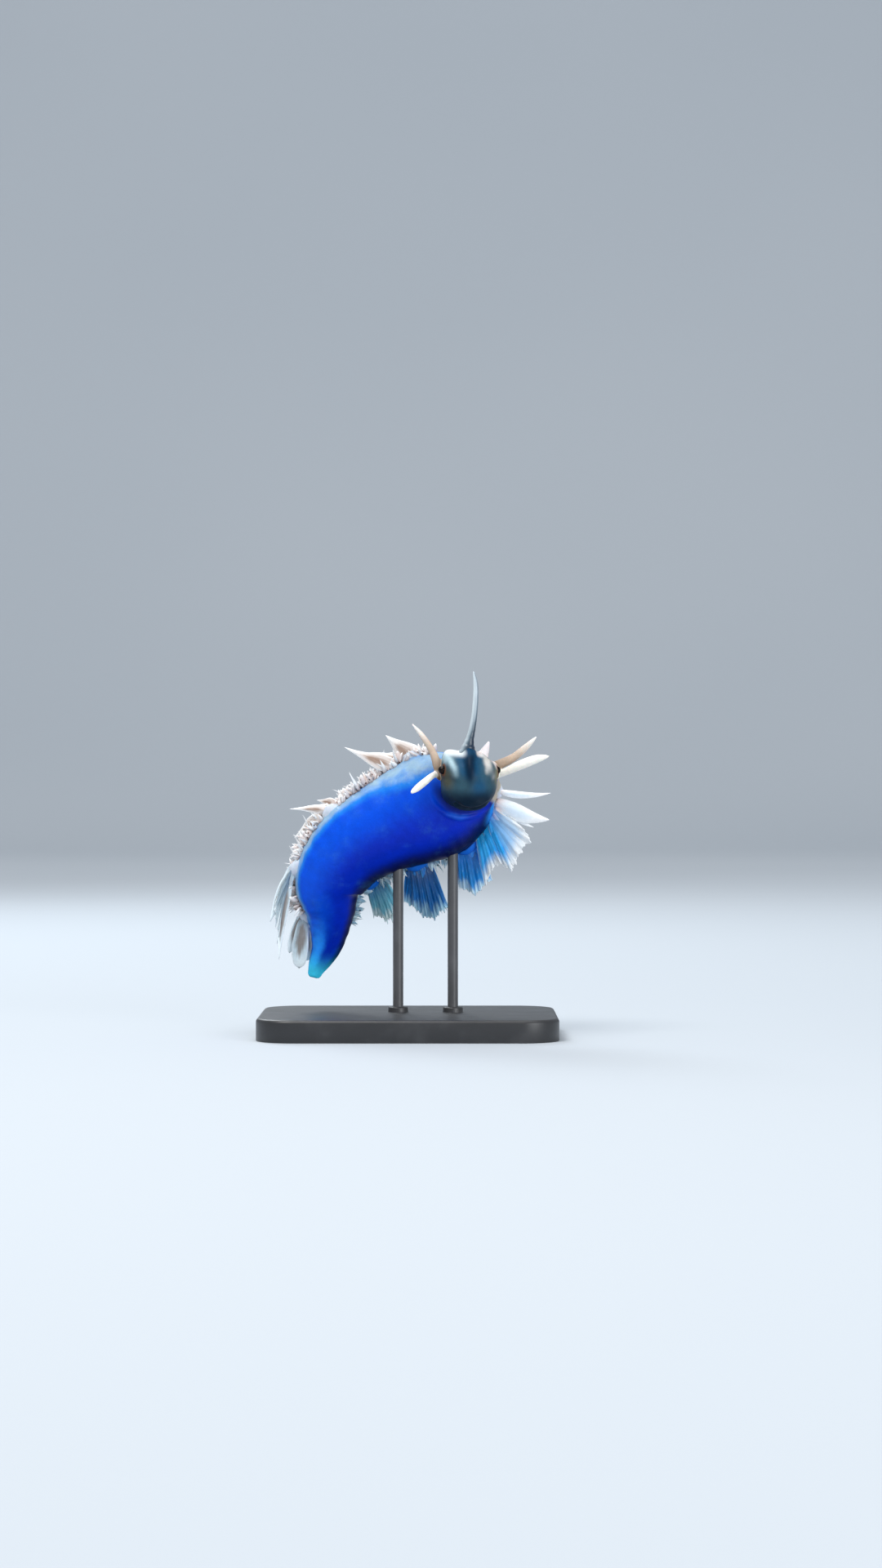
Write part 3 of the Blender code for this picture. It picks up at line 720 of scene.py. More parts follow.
def finger_pattern(name, segments, rings):
    """A ball to be bent into one ceras: its shares, cosines, sines, faces and bake map."""
    ball, share, turn = ball_grid(name, segments, rings)
    mesh = ball.data
    corners = np.empty(len(mesh.loops), np.int32)
    mesh.loops.foreach_get("vertex_index", corners)
    counts = np.empty(len(mesh.polygons), np.int32)
    mesh.polygons.foreach_get("loop_total", counts)
    uv = np.empty(len(mesh.loops) * 2, np.float32)
    mesh.uv_layers[0].uv.foreach_get("vector", uv)
    bpy.data.objects.remove(ball)
    return share, np.cos(turn), np.sin(turn), corners, counts, uv.reshape(-1, 2)


def leaf(pattern, root, lead, tip, side, half, thick, cup, shape):
    """A pattern bent into a leaf from root to tip, which leaves its root towards lead."""
    share, cosine, sine = pattern[:3]
    s = share[:, None]
    centre = root * (1 - s) ** 2 + 2 * lead * s * (1 - s) + tip * s**2
    ahead = unit(2 * (lead - root) * (1 - s) + 2 * (tip - lead) * s + 1e-9)
    across = unit(side - ahead * (ahead @ side)[:, None])
    over = np.cross(ahead, across)
    width = half * np.interp(share, *shape)
    rib = 1 + 0.5 * np.exp(-((cosine / 0.3) ** 2))
    deep = np.minimum(thick * np.interp(share, (0, 0.15, 0.6, 0.9, 1), (1.2, 1, 0.9, 0.6, 0.0)) * rib, width)
    lie = centre + across * (width * cosine)[:, None]
    return lie + over * (deep * sine * 0.7 - cup * width * cosine**2)[:, None]


LEAF = ((0, 0.05, 0.15, 0.3, 0.45, 0.6, 0.78, 0.9, 0.97, 1.0), (0.35, 0.62, 0.84, 1.0, 0.96, 0.8, 0.5, 0.26, 0.1, 0.0))
BLADE = ((0, 0.05, 0.2, 0.35, 0.5, 0.65, 0.8, 0.93, 1.0), (0.3, 0.72, 0.94, 1.0, 0.76, 0.46, 0.24, 0.1, 0.0))
FIN = ((0, 0.08, 0.25, 0.45, 0.65, 0.82, 0.93, 1.0), (0.85, 1.0, 0.96, 0.72, 0.42, 0.2, 0.09, 0.0))
TONGUE = ((0, 0.1, 0.3, 0.6, 0.8, 0.92, 0.98, 1.0), (0.4, 0.66, 0.82, 1.0, 0.94, 0.7, 0.36, 0.0))
FINGER = ((0, 0.02, 0.1, 0.3, 0.55, 0.75, 0.9, 0.97, 1.0), (0, 0.45, 0.75, 1.0, 0.95, 0.72, 0.42, 0.2, 0.0))
BUD = ((0, 0.1, 0.4, 0.7, 0.88, 1.0), (0, 0.7, 1.0, 0.85, 0.5, 0.0))
THORN = ((0, 0.1, 0.35, 0.6, 0.85, 1.0), (0, 0.8, 1.0, 0.62, 0.24, 0.0))
LEADING_SHAPES = {"right_1": BLADE, "right_2": BLADE, "right_4": TONGUE}
FIN_HALF = 1.5


def gather(name, copies, finish):
    """One mesh of many copies: each has its points, its pattern, its masks and a patch of the bake map."""
    points, corners, counts, uvs, marks = [], [], [], [], {}
    start = 0
    across = math.ceil(math.sqrt(len(copies)))
    down = math.ceil(len(copies) / across)
    for i, (lie, pattern, facts) in enumerate(copies):
        points.append(lie)
        corners.append(pattern[3] + start)
        counts.append(pattern[4])
        cell = np.array((i % across, i // across))
        uvs.append((cell + 0.04 + 0.92 * np.clip(pattern[5], 0, 1)) / (across, down))
        for key, value in facts.items():
            marks.setdefault(key, []).append(np.broadcast_to(value, len(lie)))
        start += len(lie)
    mesh = bpy.data.meshes.new(name)
    corners, counts = np.concatenate(corners), np.concatenate(counts)
    mesh.vertices.add(start)
    mesh.vertices.foreach_set("co", np.concatenate(points).ravel())
    mesh.loops.add(len(corners))
    mesh.loops.foreach_set("vertex_index", corners)
    mesh.polygons.add(len(counts))
    mesh.polygons.foreach_set("loop_start", np.concatenate(([0], np.cumsum(counts)[:-1])).astype(np.int32))
    mesh.update(calc_edges=True)
    mesh.validate()
    mesh.uv_layers.new(name="OFBake")
    mesh.uv_layers["OFBake"].uv.foreach_set("vector", np.concatenate(uvs).astype(np.float32).ravel())
    ob = bpy.data.objects.new(name, mesh)
    bpy.context.scene.collection.objects.link(ob)
    for key, value in marks.items():
        mask(ob, key, np.concatenate(value))
    outwards(ob)
    mesh.materials.append(finish)
    mesh.shade_smooth()
    return ob


def feet(name, around):
    """Where an arm's cerata spring from, from the head's side, 0, to the tail's, 1."""
    station, angle, stalk, half = ARMS[name][:4]
    around = np.atleast_1d(around)[:, None]
    if name in FEET:
        first, last = np.array(FEET[name], float)
        lie = first + (last - first) * around
        return body_point(lie[:, 0], lie[:, 1])
    end = body_point(station, angle)[0] + body_normal(station, angle)[0] * stalk * MM
    return end + section(station)[1][0] * half * 0.8 * MM * (1 - 2 * around)


def cerata_of(name, station, angle, between, leads):
    """An arm's cerata from the head's side to the tail's: root, lead point, tip, half width and leading or not."""
    out = body_normal(station, angle)[0]
    webbed = name in WEBS
    made = []
    steps = (len(leads) - 1) * (between + 1)
    for i in range(steps + 1):
        k, part = divmod(i, between + 1)
        tip, width = np.array(leads[k][0]) * MM, leads[k][1]
        root = feet(name, i / steps)[0]
        leading = part == 0
        if webbed and not leading and k + part / (between + 1) < WEBS[name][1]:
            continue
        if leading and webbed and k >= WEBS[name][1]:
            tip = root + (tip - root) * 0.97
            width = width * 0.6
        if not leading:
            after = np.array(leads[k + 1][0]) * MM
            tip = tip + (after - tip) * part / (between + 1)
            tip[1] += FILL_DEPTH * MM * draw.uniform(0.1, 1.0) * (1 if i % 2 or webbed else -0.35)
            tip = root + (tip - root) * draw.uniform(*(WEBBED_LENGTH if webbed else FILL_LENGTH))
            width = FILL_HALF * draw.uniform(0.75, 1.2)
            root = root + out * draw.uniform(-0.2, 0.3) * MM + np.array((0, 1.0, 0)) * draw.uniform(-0.3, 0.5) * MM
        moved, bent = BENDS.get((name, k), (None, None)) if leading else (None, None)
        if moved:
            root = root + np.array(moved) * MM
        way = tip - root
        bend = np.cross(way, (0, 1.0, 0))
        bend = bend / np.linalg.norm(bend) * np.linalg.norm(way)
        arch = 0.02 if name in LEADING_SHAPES else 0.1
        lead = root + way * 0.45 + out * arch * np.linalg.norm(way)
        if bent:
            lead = lead + np.array(bent) * MM
        else:
            lead = lead + bend * draw.uniform(-0.09, 0.09)
        made.append((root, lead, tip, width * MM, leading, i / steps))
    return made


def make_cerata(name, row, finish):
    station, angle, _, _, between, _, leads = row
    copies = []
    for root, lead, tip, width, leading, lie_at in cerata_of(name, station, angle, between, leads):
        way = unit(tip - root)
        side = np.cross(way, (0, 1.0, 0))
        turn = draw.uniform(-0.2, 0.2) if leading else draw.uniform(-0.9, 0.9)
        side = unit(side) * math.cos(turn) + unit(np.cross(side, way)) * math.sin(turn)
        shape = LEAF if draw.random() < 0.4 else FINGER
        if leading:
            shape = FIN if width > FIN_HALF * MM else LEADING_SHAPES.get(name, LEAF)
        pattern = LEADING if leading else LESSER
        thick = CERAS_THICK * MM * (1.0 if leading else draw.uniform(0.8, 1.1))
        cup = draw.uniform(0.05, 0.3) * draw.choice((-1, 1))
        lie = leaf(pattern, root, lead, tip, side, width, thick, cup, shape)
        facts = {"reach": pattern[0], "across": pattern[1], "tint": draw.random(), "round": lie_at}
        copies.append((lie, pattern, facts))
    return gather("cerata_" + name, copies, finish)


def make_web(name, row, reach, first, last, start, finish):
    """A thin, ruffled sheet that joins an arm's leading cerata out to a feathered edge."""
    station, angle, *_, leads = row
    out = body_normal(station, angle)[0]
    deselect()
    bpy.ops.mesh.primitive_grid_add(x_subdivisions=int(WEB_COLUMNS * (last - first)), y_subdivisions=WEB_ROWS, size=1)
    web = bpy.context.object
    web.name = web.data.name = "web_" + name
    co = places(web) + 0.5
    at, share = first + co[:, 0] * (last - first), co[:, 1]
    tips = np.array([(*tip, width) for tip, width in leads], float)
    tip = along(tips, at)[:, :3] * MM
    root = feet(name, at / (len(leads) - 1))
    between_two = np.abs(np.sin(at * math.pi))
    feathered = 0.025 * np.sin(at * 19) + 0.018 * np.sin(at * 37 + 1) + 0.014 * np.sin(at * 71 + 2)
    far = reach * (1 - 0.07 * between_two + feathered) * (start + (1 - start) * smooth(at, first, math.ceil(first + 0.01)))
    s = (share * far)[:, None]
    way = tip - root
    length = np.linalg.norm(way, axis=1)[:, None]
    lead = root + way * 0.45 + out * 0.1 * length
    points = root * (1 - s) ** 2 + 2 * lead * s * (1 - s) + tip * s**2
    ruffle = 0.26 * np.sin(at * 9.5) * share**1.5 + 0.2 * np.sin(at * 24 + 1) * share**2 + 0.08 * np.sin(at * 57) * share**3
    rib = 0.1 * np.exp(-(((at - np.round(at)) / 0.14) ** 2)) * (1 - 0.5 * share)
    points[:, 1] += (ruffle - rib - WEB_AHEAD * smooth(share, 0.0, 0.3)) * MM
    place(web, points)
    mask(web, "reach", share)
    mask(web, "across", at)
    mask(web, "round", at / (len(leads) - 1))
    finish_with(web, "SOLIDIFY", thickness=0.14 * MM, offset=0)
    web.data.materials.append(finish)
    web.data.shade_smooth()
    return web


# Frill


def near_arm(t, angle, side):
    """How near a place on the body is to the root of an arm on its side, in mm."""
    foot = body_point(t, angle)[0]
    gaps = []
    for name, row in ARMS.items():
        if name.startswith(side):
            gaps.append(np.linalg.norm(foot - body_point(row[0], row[1])[0]) / MM)
    return min(gaps)


def make_frill(side, finish):
    """Crinkled rows of short buds along one side of the back, each with one to three lobes."""
    copies = []
    for i, angle in enumerate(FRILL_ROWS):
        steps = int((FRILL_STATIONS[1] - FRILL_STATIONS[0]) / FRILL_STEP)
        for k in range(steps):
            t = FRILL_STATIONS[0] + (k + 0.5 * (i % 2) + draw.uniform(-0.3, 0.3)) * FRILL_STEP
            a = angle + draw.uniform(-2.5, 2.5)
            a = a if side == "right" else 180 - a
            taper = float(smooth(t, 1.5, 2.6) * (1 - smooth(t, 6.0, 6.8)))
            taper *= 0.5 + 0.5 * abs(math.sin(t * 5.5 + 0.4 * i))
            lobes = draw.choice((1, 2, 2, 3))
            for _ in range(lobes):
                lean, roll = draw.uniform(-0.8, 0.8), draw.uniform(-0.6, 0.6)
                length = draw.uniform(*BUD_LENGTH) * MM * (0.45 + 0.55 * taper)
                half = draw.uniform(*BUD_HALF) * MM * (0.7 + 0.3 * taper)
                bend, turn, tint = draw.uniform(-0.3, 0.3), draw.uniform(0, math.pi), draw.random()
                if draw.random() < FRILL_SPIKES and t < 5.8:
                    length, half, tint = length * 1.5, half * 0.8, 0.95
                if near_arm(t, a, side) < 1.15:
                    continue
                normal = body_normal(t, a)[0]
                forward = section(t)[1][0]
                over = np.cross(forward, normal)
                root = body_point(t, a)[0] - normal * 0.3 * MM
                tip = root + unit(normal + forward * lean + over * roll) * (length + 0.3 * MM)
                lead = root + (tip - root) * 0.5 + forward * bend * length
                across = unit(forward * math.cos(turn) + over * math.sin(turn))
                shape = THORN if tint > 0.55 else BUD
                lie = leaf(SMALL, root, lead, tip, across, half, half * 0.8, 0.1, shape)
                copies.append((lie, SMALL, {"reach": SMALL[0], "across": SMALL[1], "tint": tint}))
    return gather("frill_" + side, copies, finish)


# Stand


def edges_where(ob, test):
    """Selects, in edit mode, the edges that pass a test on their two ends."""
    only(ob)
    bpy.ops.object.mode_set(mode="EDIT")
    bpy.ops.mesh.select_mode(type="EDGE")
    bpy.ops.mesh.select_all(action="DESELECT")
    bpy.ops.object.mode_set(mode="OBJECT")
    for edge in ob.data.edges:
        a, b = (ob.data.vertices[i].co for i in edge.vertices)
        edge.select = test(a, b)
    bpy.ops.object.mode_set(mode="EDIT")


def bevel(offset, segments):
    bpy.ops.mesh.bevel(offset=offset, segments=segments, affect="EDGES", profile=0.5)
    bpy.ops.object.mode_set(mode="OBJECT")


def settle(ob):
    """Puts an object's place, turn and size into its mesh."""
    only(ob)
    bpy.ops.object.transform_apply(location=True, rotation=True, scale=True)


def make_plate():
    width, depth, height = (size * MM for size in BASE_SIZE)
    deselect()
    bpy.ops.mesh.primitive_cube_add(size=1, location=(0, 0, height / 2), scale=(width, depth, height))
    plate = bpy.context.object
    plate.name = plate.data.name = "display_plate"
    settle(plate)
    edges_where(plate, lambda a, b: abs(a.z - b.z) > height / 2)
    bevel(BASE_CORNER * MM, 20)
    edges_where(plate, lambda a, b: min(a.z, b.z) > height * 0.9)
    bevel(BASE_EDGE * MM, 6)
    edges_where(plate, lambda a, b: max(a.z, b.z) < height * 0.1)
    bevel(0.12 * MM, 2)
    only(plate)
    bpy.ops.object.shade_smooth_by_angle(angle=math.radians(35))
    return plate


def make_rod(i, x, y):
    """A round rod with a stepped collar at its foot."""
    bottom = BASE_SIZE[2] - 0.1
    deselect()
    bpy.ops.mesh.primitive_cylinder_add(
        vertices=48, radius=ROD_RADIUS * MM, depth=(ROD_TOP - bottom) * MM, location=(x * MM, y * MM, (ROD_TOP + bottom) / 2 * MM)
    )
    rod = bpy.context.object
    settle(rod)
    bpy.ops.mesh.primitive_cylinder_add(
        vertices=48, radius=1.35 * MM, depth=0.8 * MM, location=(x * MM, y * MM, (bottom + 0.4) * MM)
    )
    foot = bpy.context.object
    settle(foot)
    edges_where(foot, lambda a, b: min(a.z, b.z) > (bottom + 0.6) * MM)
    bevel(0.22 * MM, 4)
    rod = join(f"display_rod_{i}", [rod, foot])
    only(rod)
    bpy.ops.object.shade_smooth_by_angle(angle=math.radians(35))
    return rod


# Finishes


def put(tree, kind, inputs=None, **settings):
    """Adds a node with its settings, and sets or joins its inputs."""
    made = tree.nodes.new(kind)
    for name, value in settings.items():
        setattr(made, name, value)
    for name, value in (inputs or {}).items():
        if isinstance(value, bpy.types.NodeSocket):
            tree.links.new(value, made.inputs[name])
        else:
            made.inputs[name].default_value = value
    return made


def attribute(tree, name):
    return put(tree, "ShaderNodeAttribute", attribute_name=name).outputs["Fac"]


def sum_up(tree, operation, *values):
    return put(tree, "ShaderNodeMath", dict(enumerate(values)), operation=operation).outputs[0]


def mix(tree, share, below, above, blend="MIX"):
    return put(tree, "ShaderNodeMix", {0: share, 6: below, 7: above}, data_type="RGBA", blend_type=blend).outputs[2]


def new_group(name, inputs, outputs):
    """An empty shader group with its sockets."""
    tree = bpy.data.node_groups.new(name, "ShaderNodeTree")
    for label, kind, value in inputs:
        socket = tree.interface.new_socket(label, in_out="INPUT", socket_type=kind)
        if value is not None:
            socket.default_value = value
    for label, kind in outputs:
        tree.interface.new_socket(label, in_out="OUTPUT", socket_type=kind)
    return tree, tree.nodes.new("NodeGroupInput").outputs, tree.nodes.new("NodeGroupOutput").inputs


NUMBER, VECTOR, COLOUR = "NodeSocketFloat", "NodeSocketVector", "NodeSocketColor"


def soft_mask_group():
    """A mask whose edge a slow noise breaks up."""
    tree, given, out = new_group(
        "soft_mask",
        (("Mask", NUMBER, 0.0), ("Noise", NUMBER, 0.5), ("Break", NUMBER, 0.3), ("Low", NUMBER, 0.3), ("High", NUMBER, 0.7)),
        (("Mask", NUMBER),),
    )
    centred = sum_up(tree, "SUBTRACT", given["Noise"], 0.5)
    pushed = sum_up(tree, "MULTIPLY_ADD", centred, given["Break"], given["Mask"])
    span = put(
        tree,
        "ShaderNodeMapRange",
        {"Value": pushed, "From Min": given["Low"], "From Max": given["High"]},
        interpolation_type="SMOOTHSTEP",
    )
    tree.links.new(span.outputs[0], out["Mask"])
    return tree


def mottle_group():
    """Slow and fine variation of a colour, and a height for a bump."""
    tree, given, out = new_group(
        "mottle",
        (("Vector", VECTOR, None), ("Colour", COLOUR, (1, 1, 1, 1)), ("Scale", NUMBER, 900.0), ("Amount", NUMBER, 0.2)),
        (("Colour", COLOUR), ("Height", NUMBER), ("Noise", NUMBER)),
    )
    slow = put(tree, "ShaderNodeTexNoise", {"Vector": given["Vector"], "Scale": given["Scale"], "Detail": 5.0}).outputs[0]
    fine_scale = sum_up(tree, "MULTIPLY", given["Scale"], 5.0)
    fine = put(tree, "ShaderNodeTexNoise", {"Vector": given["Vector"], "Scale": fine_scale, "Detail": 3.0}).outputs[0]
    blend = sum_up(tree, "MULTIPLY_ADD", fine, 0.35, sum_up(tree, "MULTIPLY", slow, 0.65))
    light = put(tree, "ShaderNodeMapRange", {"Value": blend, "From Min": 0.3, "From Max": 0.7, "To Min": 0.72, "To Max": 1.25}).outputs[0]
    varied = put(tree, "ShaderNodeVectorMath", {0: given["Colour"], "Scale": light}, operation="SCALE").outputs[0]
    colour = mix(tree, given["Amount"], given["Colour"], varied)
    pores = put(tree, "ShaderNodeTexVoronoi", {"Vector": given["Vector"], "Scale": fine_scale}, feature="SMOOTH_F1").outputs[0]
    height = sum_up(tree, "MULTIPLY_ADD", pores, 0.35, sum_up(tree, "MULTIPLY", blend, 0.65))
    tree.links.new(colour, out["Colour"])
    tree.links.new(height, out["Height"])
    tree.links.new(slow, out["Noise"])
    return tree


def new_finish(name, roughness, **constants):
    """A material with its main shader's constants set on the shader's own sockets."""
    material = bpy.data.materials.new(name)
    material.use_nodes = True
    tree = material.node_tree
    shader = tree.nodes["Principled BSDF"]
    shader.inputs["Roughness"].default_value = roughness
    for key, value in constants.items():
        shader.inputs[key.replace("_", " ")].default_value = value
    return material, tree, shader


def coat_over(tree, shader, vector, colour, scale, amount, distance, strength=0.35):
    """Mottles a colour, joins it to the shader and gives the surface its fine relief."""
    mottled = put(tree, "ShaderNodeGroup", node_tree=MOTTLE)
    tree.links.new(vector, mottled.inputs["Vector"])
    tree.links.new(colour, mottled.inputs["Colour"])
    mottled.inputs["Scale"].default_value = scale
    mottled.inputs["Amount"].default_value = amount
    tree.links.new(mottled.outputs["Colour"], shader.inputs["Base Color"])
    relief = put(tree, "ShaderNodeBump", {"Strength": strength, "Distance": distance, "Height": mottled.outputs["Height"]})
    tree.links.new(relief.outputs[0], shader.inputs["Normal"])
    return mottled


def constant(tree, colour):
    made = put(tree, "ShaderNodeRGB")
    made.outputs[0].default_value = colour
    return made.outputs[0]


def layered(tree, base, noise, layers):
    """Colours laid over each other, each through a mask with a broken edge."""
    colour = constant(tree, base)
    for name, above, low, high, broken in layers:
        soft = put(tree, "ShaderNodeGroup", node_tree=SOFT_MASK)
        tree.links.new(attribute(tree, name) if isinstance(name, str) else name, soft.inputs["Mask"])
        tree.links.new(noise, soft.inputs["Noise"])
        soft.inputs["Break"].default_value = broken
        soft.inputs["Low"].default_value = low
        soft.inputs["High"].default_value = high
        colour = mix(tree, soft.outputs["Mask"], colour, above)
    return colour


def skin_finish():
    material, tree, shader = new_finish(
        "slug_skin", 0.42, Specular_IOR_Level=0.15, Coat_Roughness=0.22, Subsurface_Weight=0.1,
        Subsurface_Scale=0.0006, IOR=1.38
    )
    place_in = put(tree, "ShaderNodeTexCoord").outputs["Object"]
    noise = put(tree, "ShaderNodeTexNoise", {"Vector": place_in, "Scale": 420.0, "Detail": 6.0, "Roughness": 0.6}).outputs[0]
    royal = srgb(0, 40, 180)
    colour = layered(
        tree,
        royal,
        noise,
        (
            # painted shade: dark navy down the belly's inner side, away from the light
            ("inner", srgb(0, 10, 62), 0.1, 1.0, 0.3),
            # painted highlight: lighter blue on the lit outer side of the belly
            ("lit_side_highlight", srgb(0, 78, 212), 0.25, 1.1, 0.3),
            ("back", srgb(186, 200, 212), 0.25, 0.75, 0.4),
            ("backedge", srgb(70, 132, 206), 0.3, 1.15, 0.9),
            ("backline", srgb(104, 132, 168), 0.25, 1.1, 1.1),
            ("margin", srgb(24, 122, 216), 0.02, 0.7, 0.7),
            ("margin", srgb(148, 178, 198), 0.55, 1.2, 0.9),
            ("chest", srgb(30, 134, 228), 0.3, 1.0, 0.4),
            ("rosy", srgb(168, 160, 146), 0.2, 0.9, 0.4),
            ("streak", srgb(40, 150, 255), 0.15, 1.15, 0.5),
            ("tail", srgb(66, 216, 255), 0.0, 1.1, 0.35),
            ("palm", srgb(24, 104, 208), 0.3, 1.0, 0.5),
            ("blush", srgb(196, 204, 216), 0.25, 1.0, 0.6),
            # painted shadow: navy on the body under the chin
            ("shade", srgb(2, 22, 92), 0.2, 1.2, 0.2),
            ("collar", srgb(30, 92, 214), 0.2, 1.1, 0.4),
            ("face", srgb(46, 76, 90), 0.3, 0.8, 0.12),
            ("cool", srgb(0, 66, 100), 0.0, 0.95, 0.3),
            ("warm", srgb(72, 74, 62), 0.0, 1.0, 0.4),
            # painted shade: dark lower face and chin
            ("chin", srgb(8, 30, 48), 0.0, 0.95, 0.35),
            ("beside", srgb(4, 70, 108), 0.0, 1.05, 0.2),
            ("olive", srgb(112, 110, 88), 0.0, 1.0, 0.3),
            # painted highlight on the left brow
            ("brow_highlight", srgb(168, 194, 204), 0.0, 1.15, 0.3),
            # painted highlight on the right of the face
            ("right_face_highlight", srgb(186, 184, 180), 0.1, 1.15, 0.3),
            ("crest", srgb(222, 230, 234), 0.15, 1.1, 0.35),
            ("right_crest", srgb(216, 206, 204), 0.15, 0.95, 0.35),
            ("stripe", srgb(0, 28, 50), 0.0, 1.0, 0.2),
            ("lips", srgb(30, 32, 40), 0.55, 1.15, 0.1),
            ("nape", srgb(228, 222, 224), 0.3, 0.8, 0.1),
            ("tentacle", srgb(238, 235, 226), 0.3, 0.8, 0.1),
            ("rhinophore", srgb(186, 166, 148), 0.3, 0.8, 0.1),
        ),
    )
    on_feeler = attribute(tree, "rhinophore")
    root = sum_up(tree, "MULTIPLY", on_feeler, sum_up(tree, "SUBTRACT", 1.0, attribute(tree, "reach")))
    tip = sum_up(tree, "MULTIPLY", on_feeler, attribute(tree, "reach"))
    for level, above, low, high in ((root, srgb(92, 72, 52), 0.5, 1.0), (tip, srgb(232, 230, 226), 0.5, 1.0)):
        soft = put(tree, "ShaderNodeGroup", {"Mask": level, "Noise": noise, "Break": 0.1, "Low": low, "High": high}, node_tree=SOFT_MASK)
        colour = mix(tree, soft.outputs["Mask"], colour, above)
    colour = mix(tree, attribute(tree, "rim"), colour, srgb(112, 66, 38))
    wet = sum_up(tree, "MULTIPLY_ADD", attribute(tree, "face"), -0.03, 0.05)
    tree.links.new(wet, shader.inputs["Coat Weight"])
    rough = sum_up(tree, "MULTIPLY_ADD", attribute(tree, "face"), 0.12, 0.42)
    tree.links.new(rough, shader.inputs["Roughness"])
    coat_over(tree, shader, place_in, colour, 900.0, 0.45, 0.00006, 0.5)
    return material


def horn_finish():
    material, tree, shader = new_finish("horn_white", 0.34, Coat_Weight=0.3, Coat_Roughness=0.2, IOR=1.45)
    place_in = put(tree, "ShaderNodeTexCoord").outputs["Object"]
    noise = put(tree, "ShaderNodeTexNoise", {"Vector": place_in, "Scale": 700.0, "Detail": 4.0}).outputs[0]
    low_down = sum_up(tree, "SUBTRACT", 1.0, attribute(tree, "reach"))
    # Painted shade: the horn is painted darker down its right side and towards its foot, away from the light; at the
    # foot the dark runs into the head's stripe
    painted_shade = sum_up(tree, "MULTIPLY", low_down, sum_up(tree, "MULTIPLY_ADD", attribute(tree, "sideways"), 0.5, 1.0))
    colour = layered(
        tree,
        srgb(196, 208, 214),
        noise,
        (
            (attribute(tree, "sideways"), srgb(170, 183, 192), -0.7, 0.3, 0.2),
            (attribute(tree, "sideways"), srgb(124, 138, 149), 0.2, 0.95, 0.2),
            (painted_shade, srgb(90, 110, 124), 0.18, 0.68, 0.12),
            (painted_shade, srgb(50, 66, 80), 0.4, 0.7, 0.12),
            (painted_shade, srgb(12, 36, 58), 0.6, 0.86, 0.1),
        ),
    )
    stretched = put(tree, "ShaderNodeMapping", {"Vector": place_in, "Scale": (1.0, 1.0, 0.12)}).outputs[0]
    coat_over(tree, shader, stretched, colour, 2600.0, 0.35, 0.00005, 0.5)
    return material


def hind_mask(tree, reach):
    """Where a fan's hind part is, short of its tips."""
    behind = put(tree, "ShaderNodeMapRange", {"Value": attribute(tree, "round"), "From Min": 0.3, "From Max": 0.6}).outputs[0]
    inner = put(tree, "ShaderNodeMapRange", {"Value": reach, "From Min": 0.92, "From Max": 0.6}).outputs[0]
    return sum_up(tree, "MULTIPLY", behind, inner)


def cerata_finish(name, root, middle, tip, core, core_share, edge, hind=None, core_from=0.3):
    """A soft finger's colours from root to tip, with its core, edges and streaks, and those of the fan's hind part."""
    material, tree, shader = new_finish(
        name, 0.36, Coat_Weight=0.3, Coat_Roughness=0.25, Subsurface_Weight=0.2, Subsurface_Scale=0.0006,
        Subsurface_Radius=(1, 1, 1), IOR=1.36
    )
    reach, across, tint = (attribute(tree, n) for n in ("reach", "across", "tint"))
    streak_at = put(tree, "ShaderNodeCombineXYZ", {0: sum_up(tree, "MULTIPLY_ADD", tint, 37.0, across), 1: sum_up(tree, "MULTIPLY", reach, 0.7), 2: tint})
    streaks = put(tree, "ShaderNodeTexNoise", {"Vector": streak_at.outputs[0], "Scale": 5.0, "Detail": 4.0}).outputs[0]
    shifted = sum_up(tree, "MULTIPLY_ADD", tint, 0.22, reach)
    colour = layered(
        tree,
        root,
        streaks,
        (
            (shifted, middle, 0.04, 0.34, 0.3),
            (shifted, tip, 0.5, 1.05, 0.4),
        ),
    )
    if hind:
        colour = mix(tree, hind_mask(tree, reach), colour, hind)
    inside = sum_up(tree, "SUBTRACT", 1.0, sum_up(tree, "ABSOLUTE", across))
    rising = put(tree, "ShaderNodeMapRange", {"Value": reach, "From Min": 0.05, "From Max": 0.3}).outputs[0]
    falling = put(tree, "ShaderNodeMapRange", {"Value": reach, "From Min": 0.9, "From Max": 0.55}).outputs[0]
    core_mask = sum_up(tree, "MULTIPLY", inside, sum_up(tree, "MULTIPLY", rising, falling))
    soft = put(tree, "ShaderNodeGroup", {"Mask": core_mask, "Noise": streaks, "Break": 0.9, "Low": core_from, "High": core_from + 0.65}, node_tree=SOFT_MASK)
    colour = mix(tree, sum_up(tree, "MULTIPLY", soft.outputs["Mask"], core_share), colour, core)
    rim = put(tree, "ShaderNodeGroup", {"Mask": sum_up(tree, "ABSOLUTE", across), "Noise": streaks, "Break": 0.3, "Low": 0.72, "High": 0.98}, node_tree=SOFT_MASK)
    colour = mix(tree, sum_up(tree, "MULTIPLY", rim.outputs["Mask"], 0.7), colour, edge)
    place_in = put(tree, "ShaderNodeTexCoord").outputs["Object"]
    coat_over(tree, shader, place_in, colour, 1600.0, 0.3, 0.00004, 0.4)
    return material


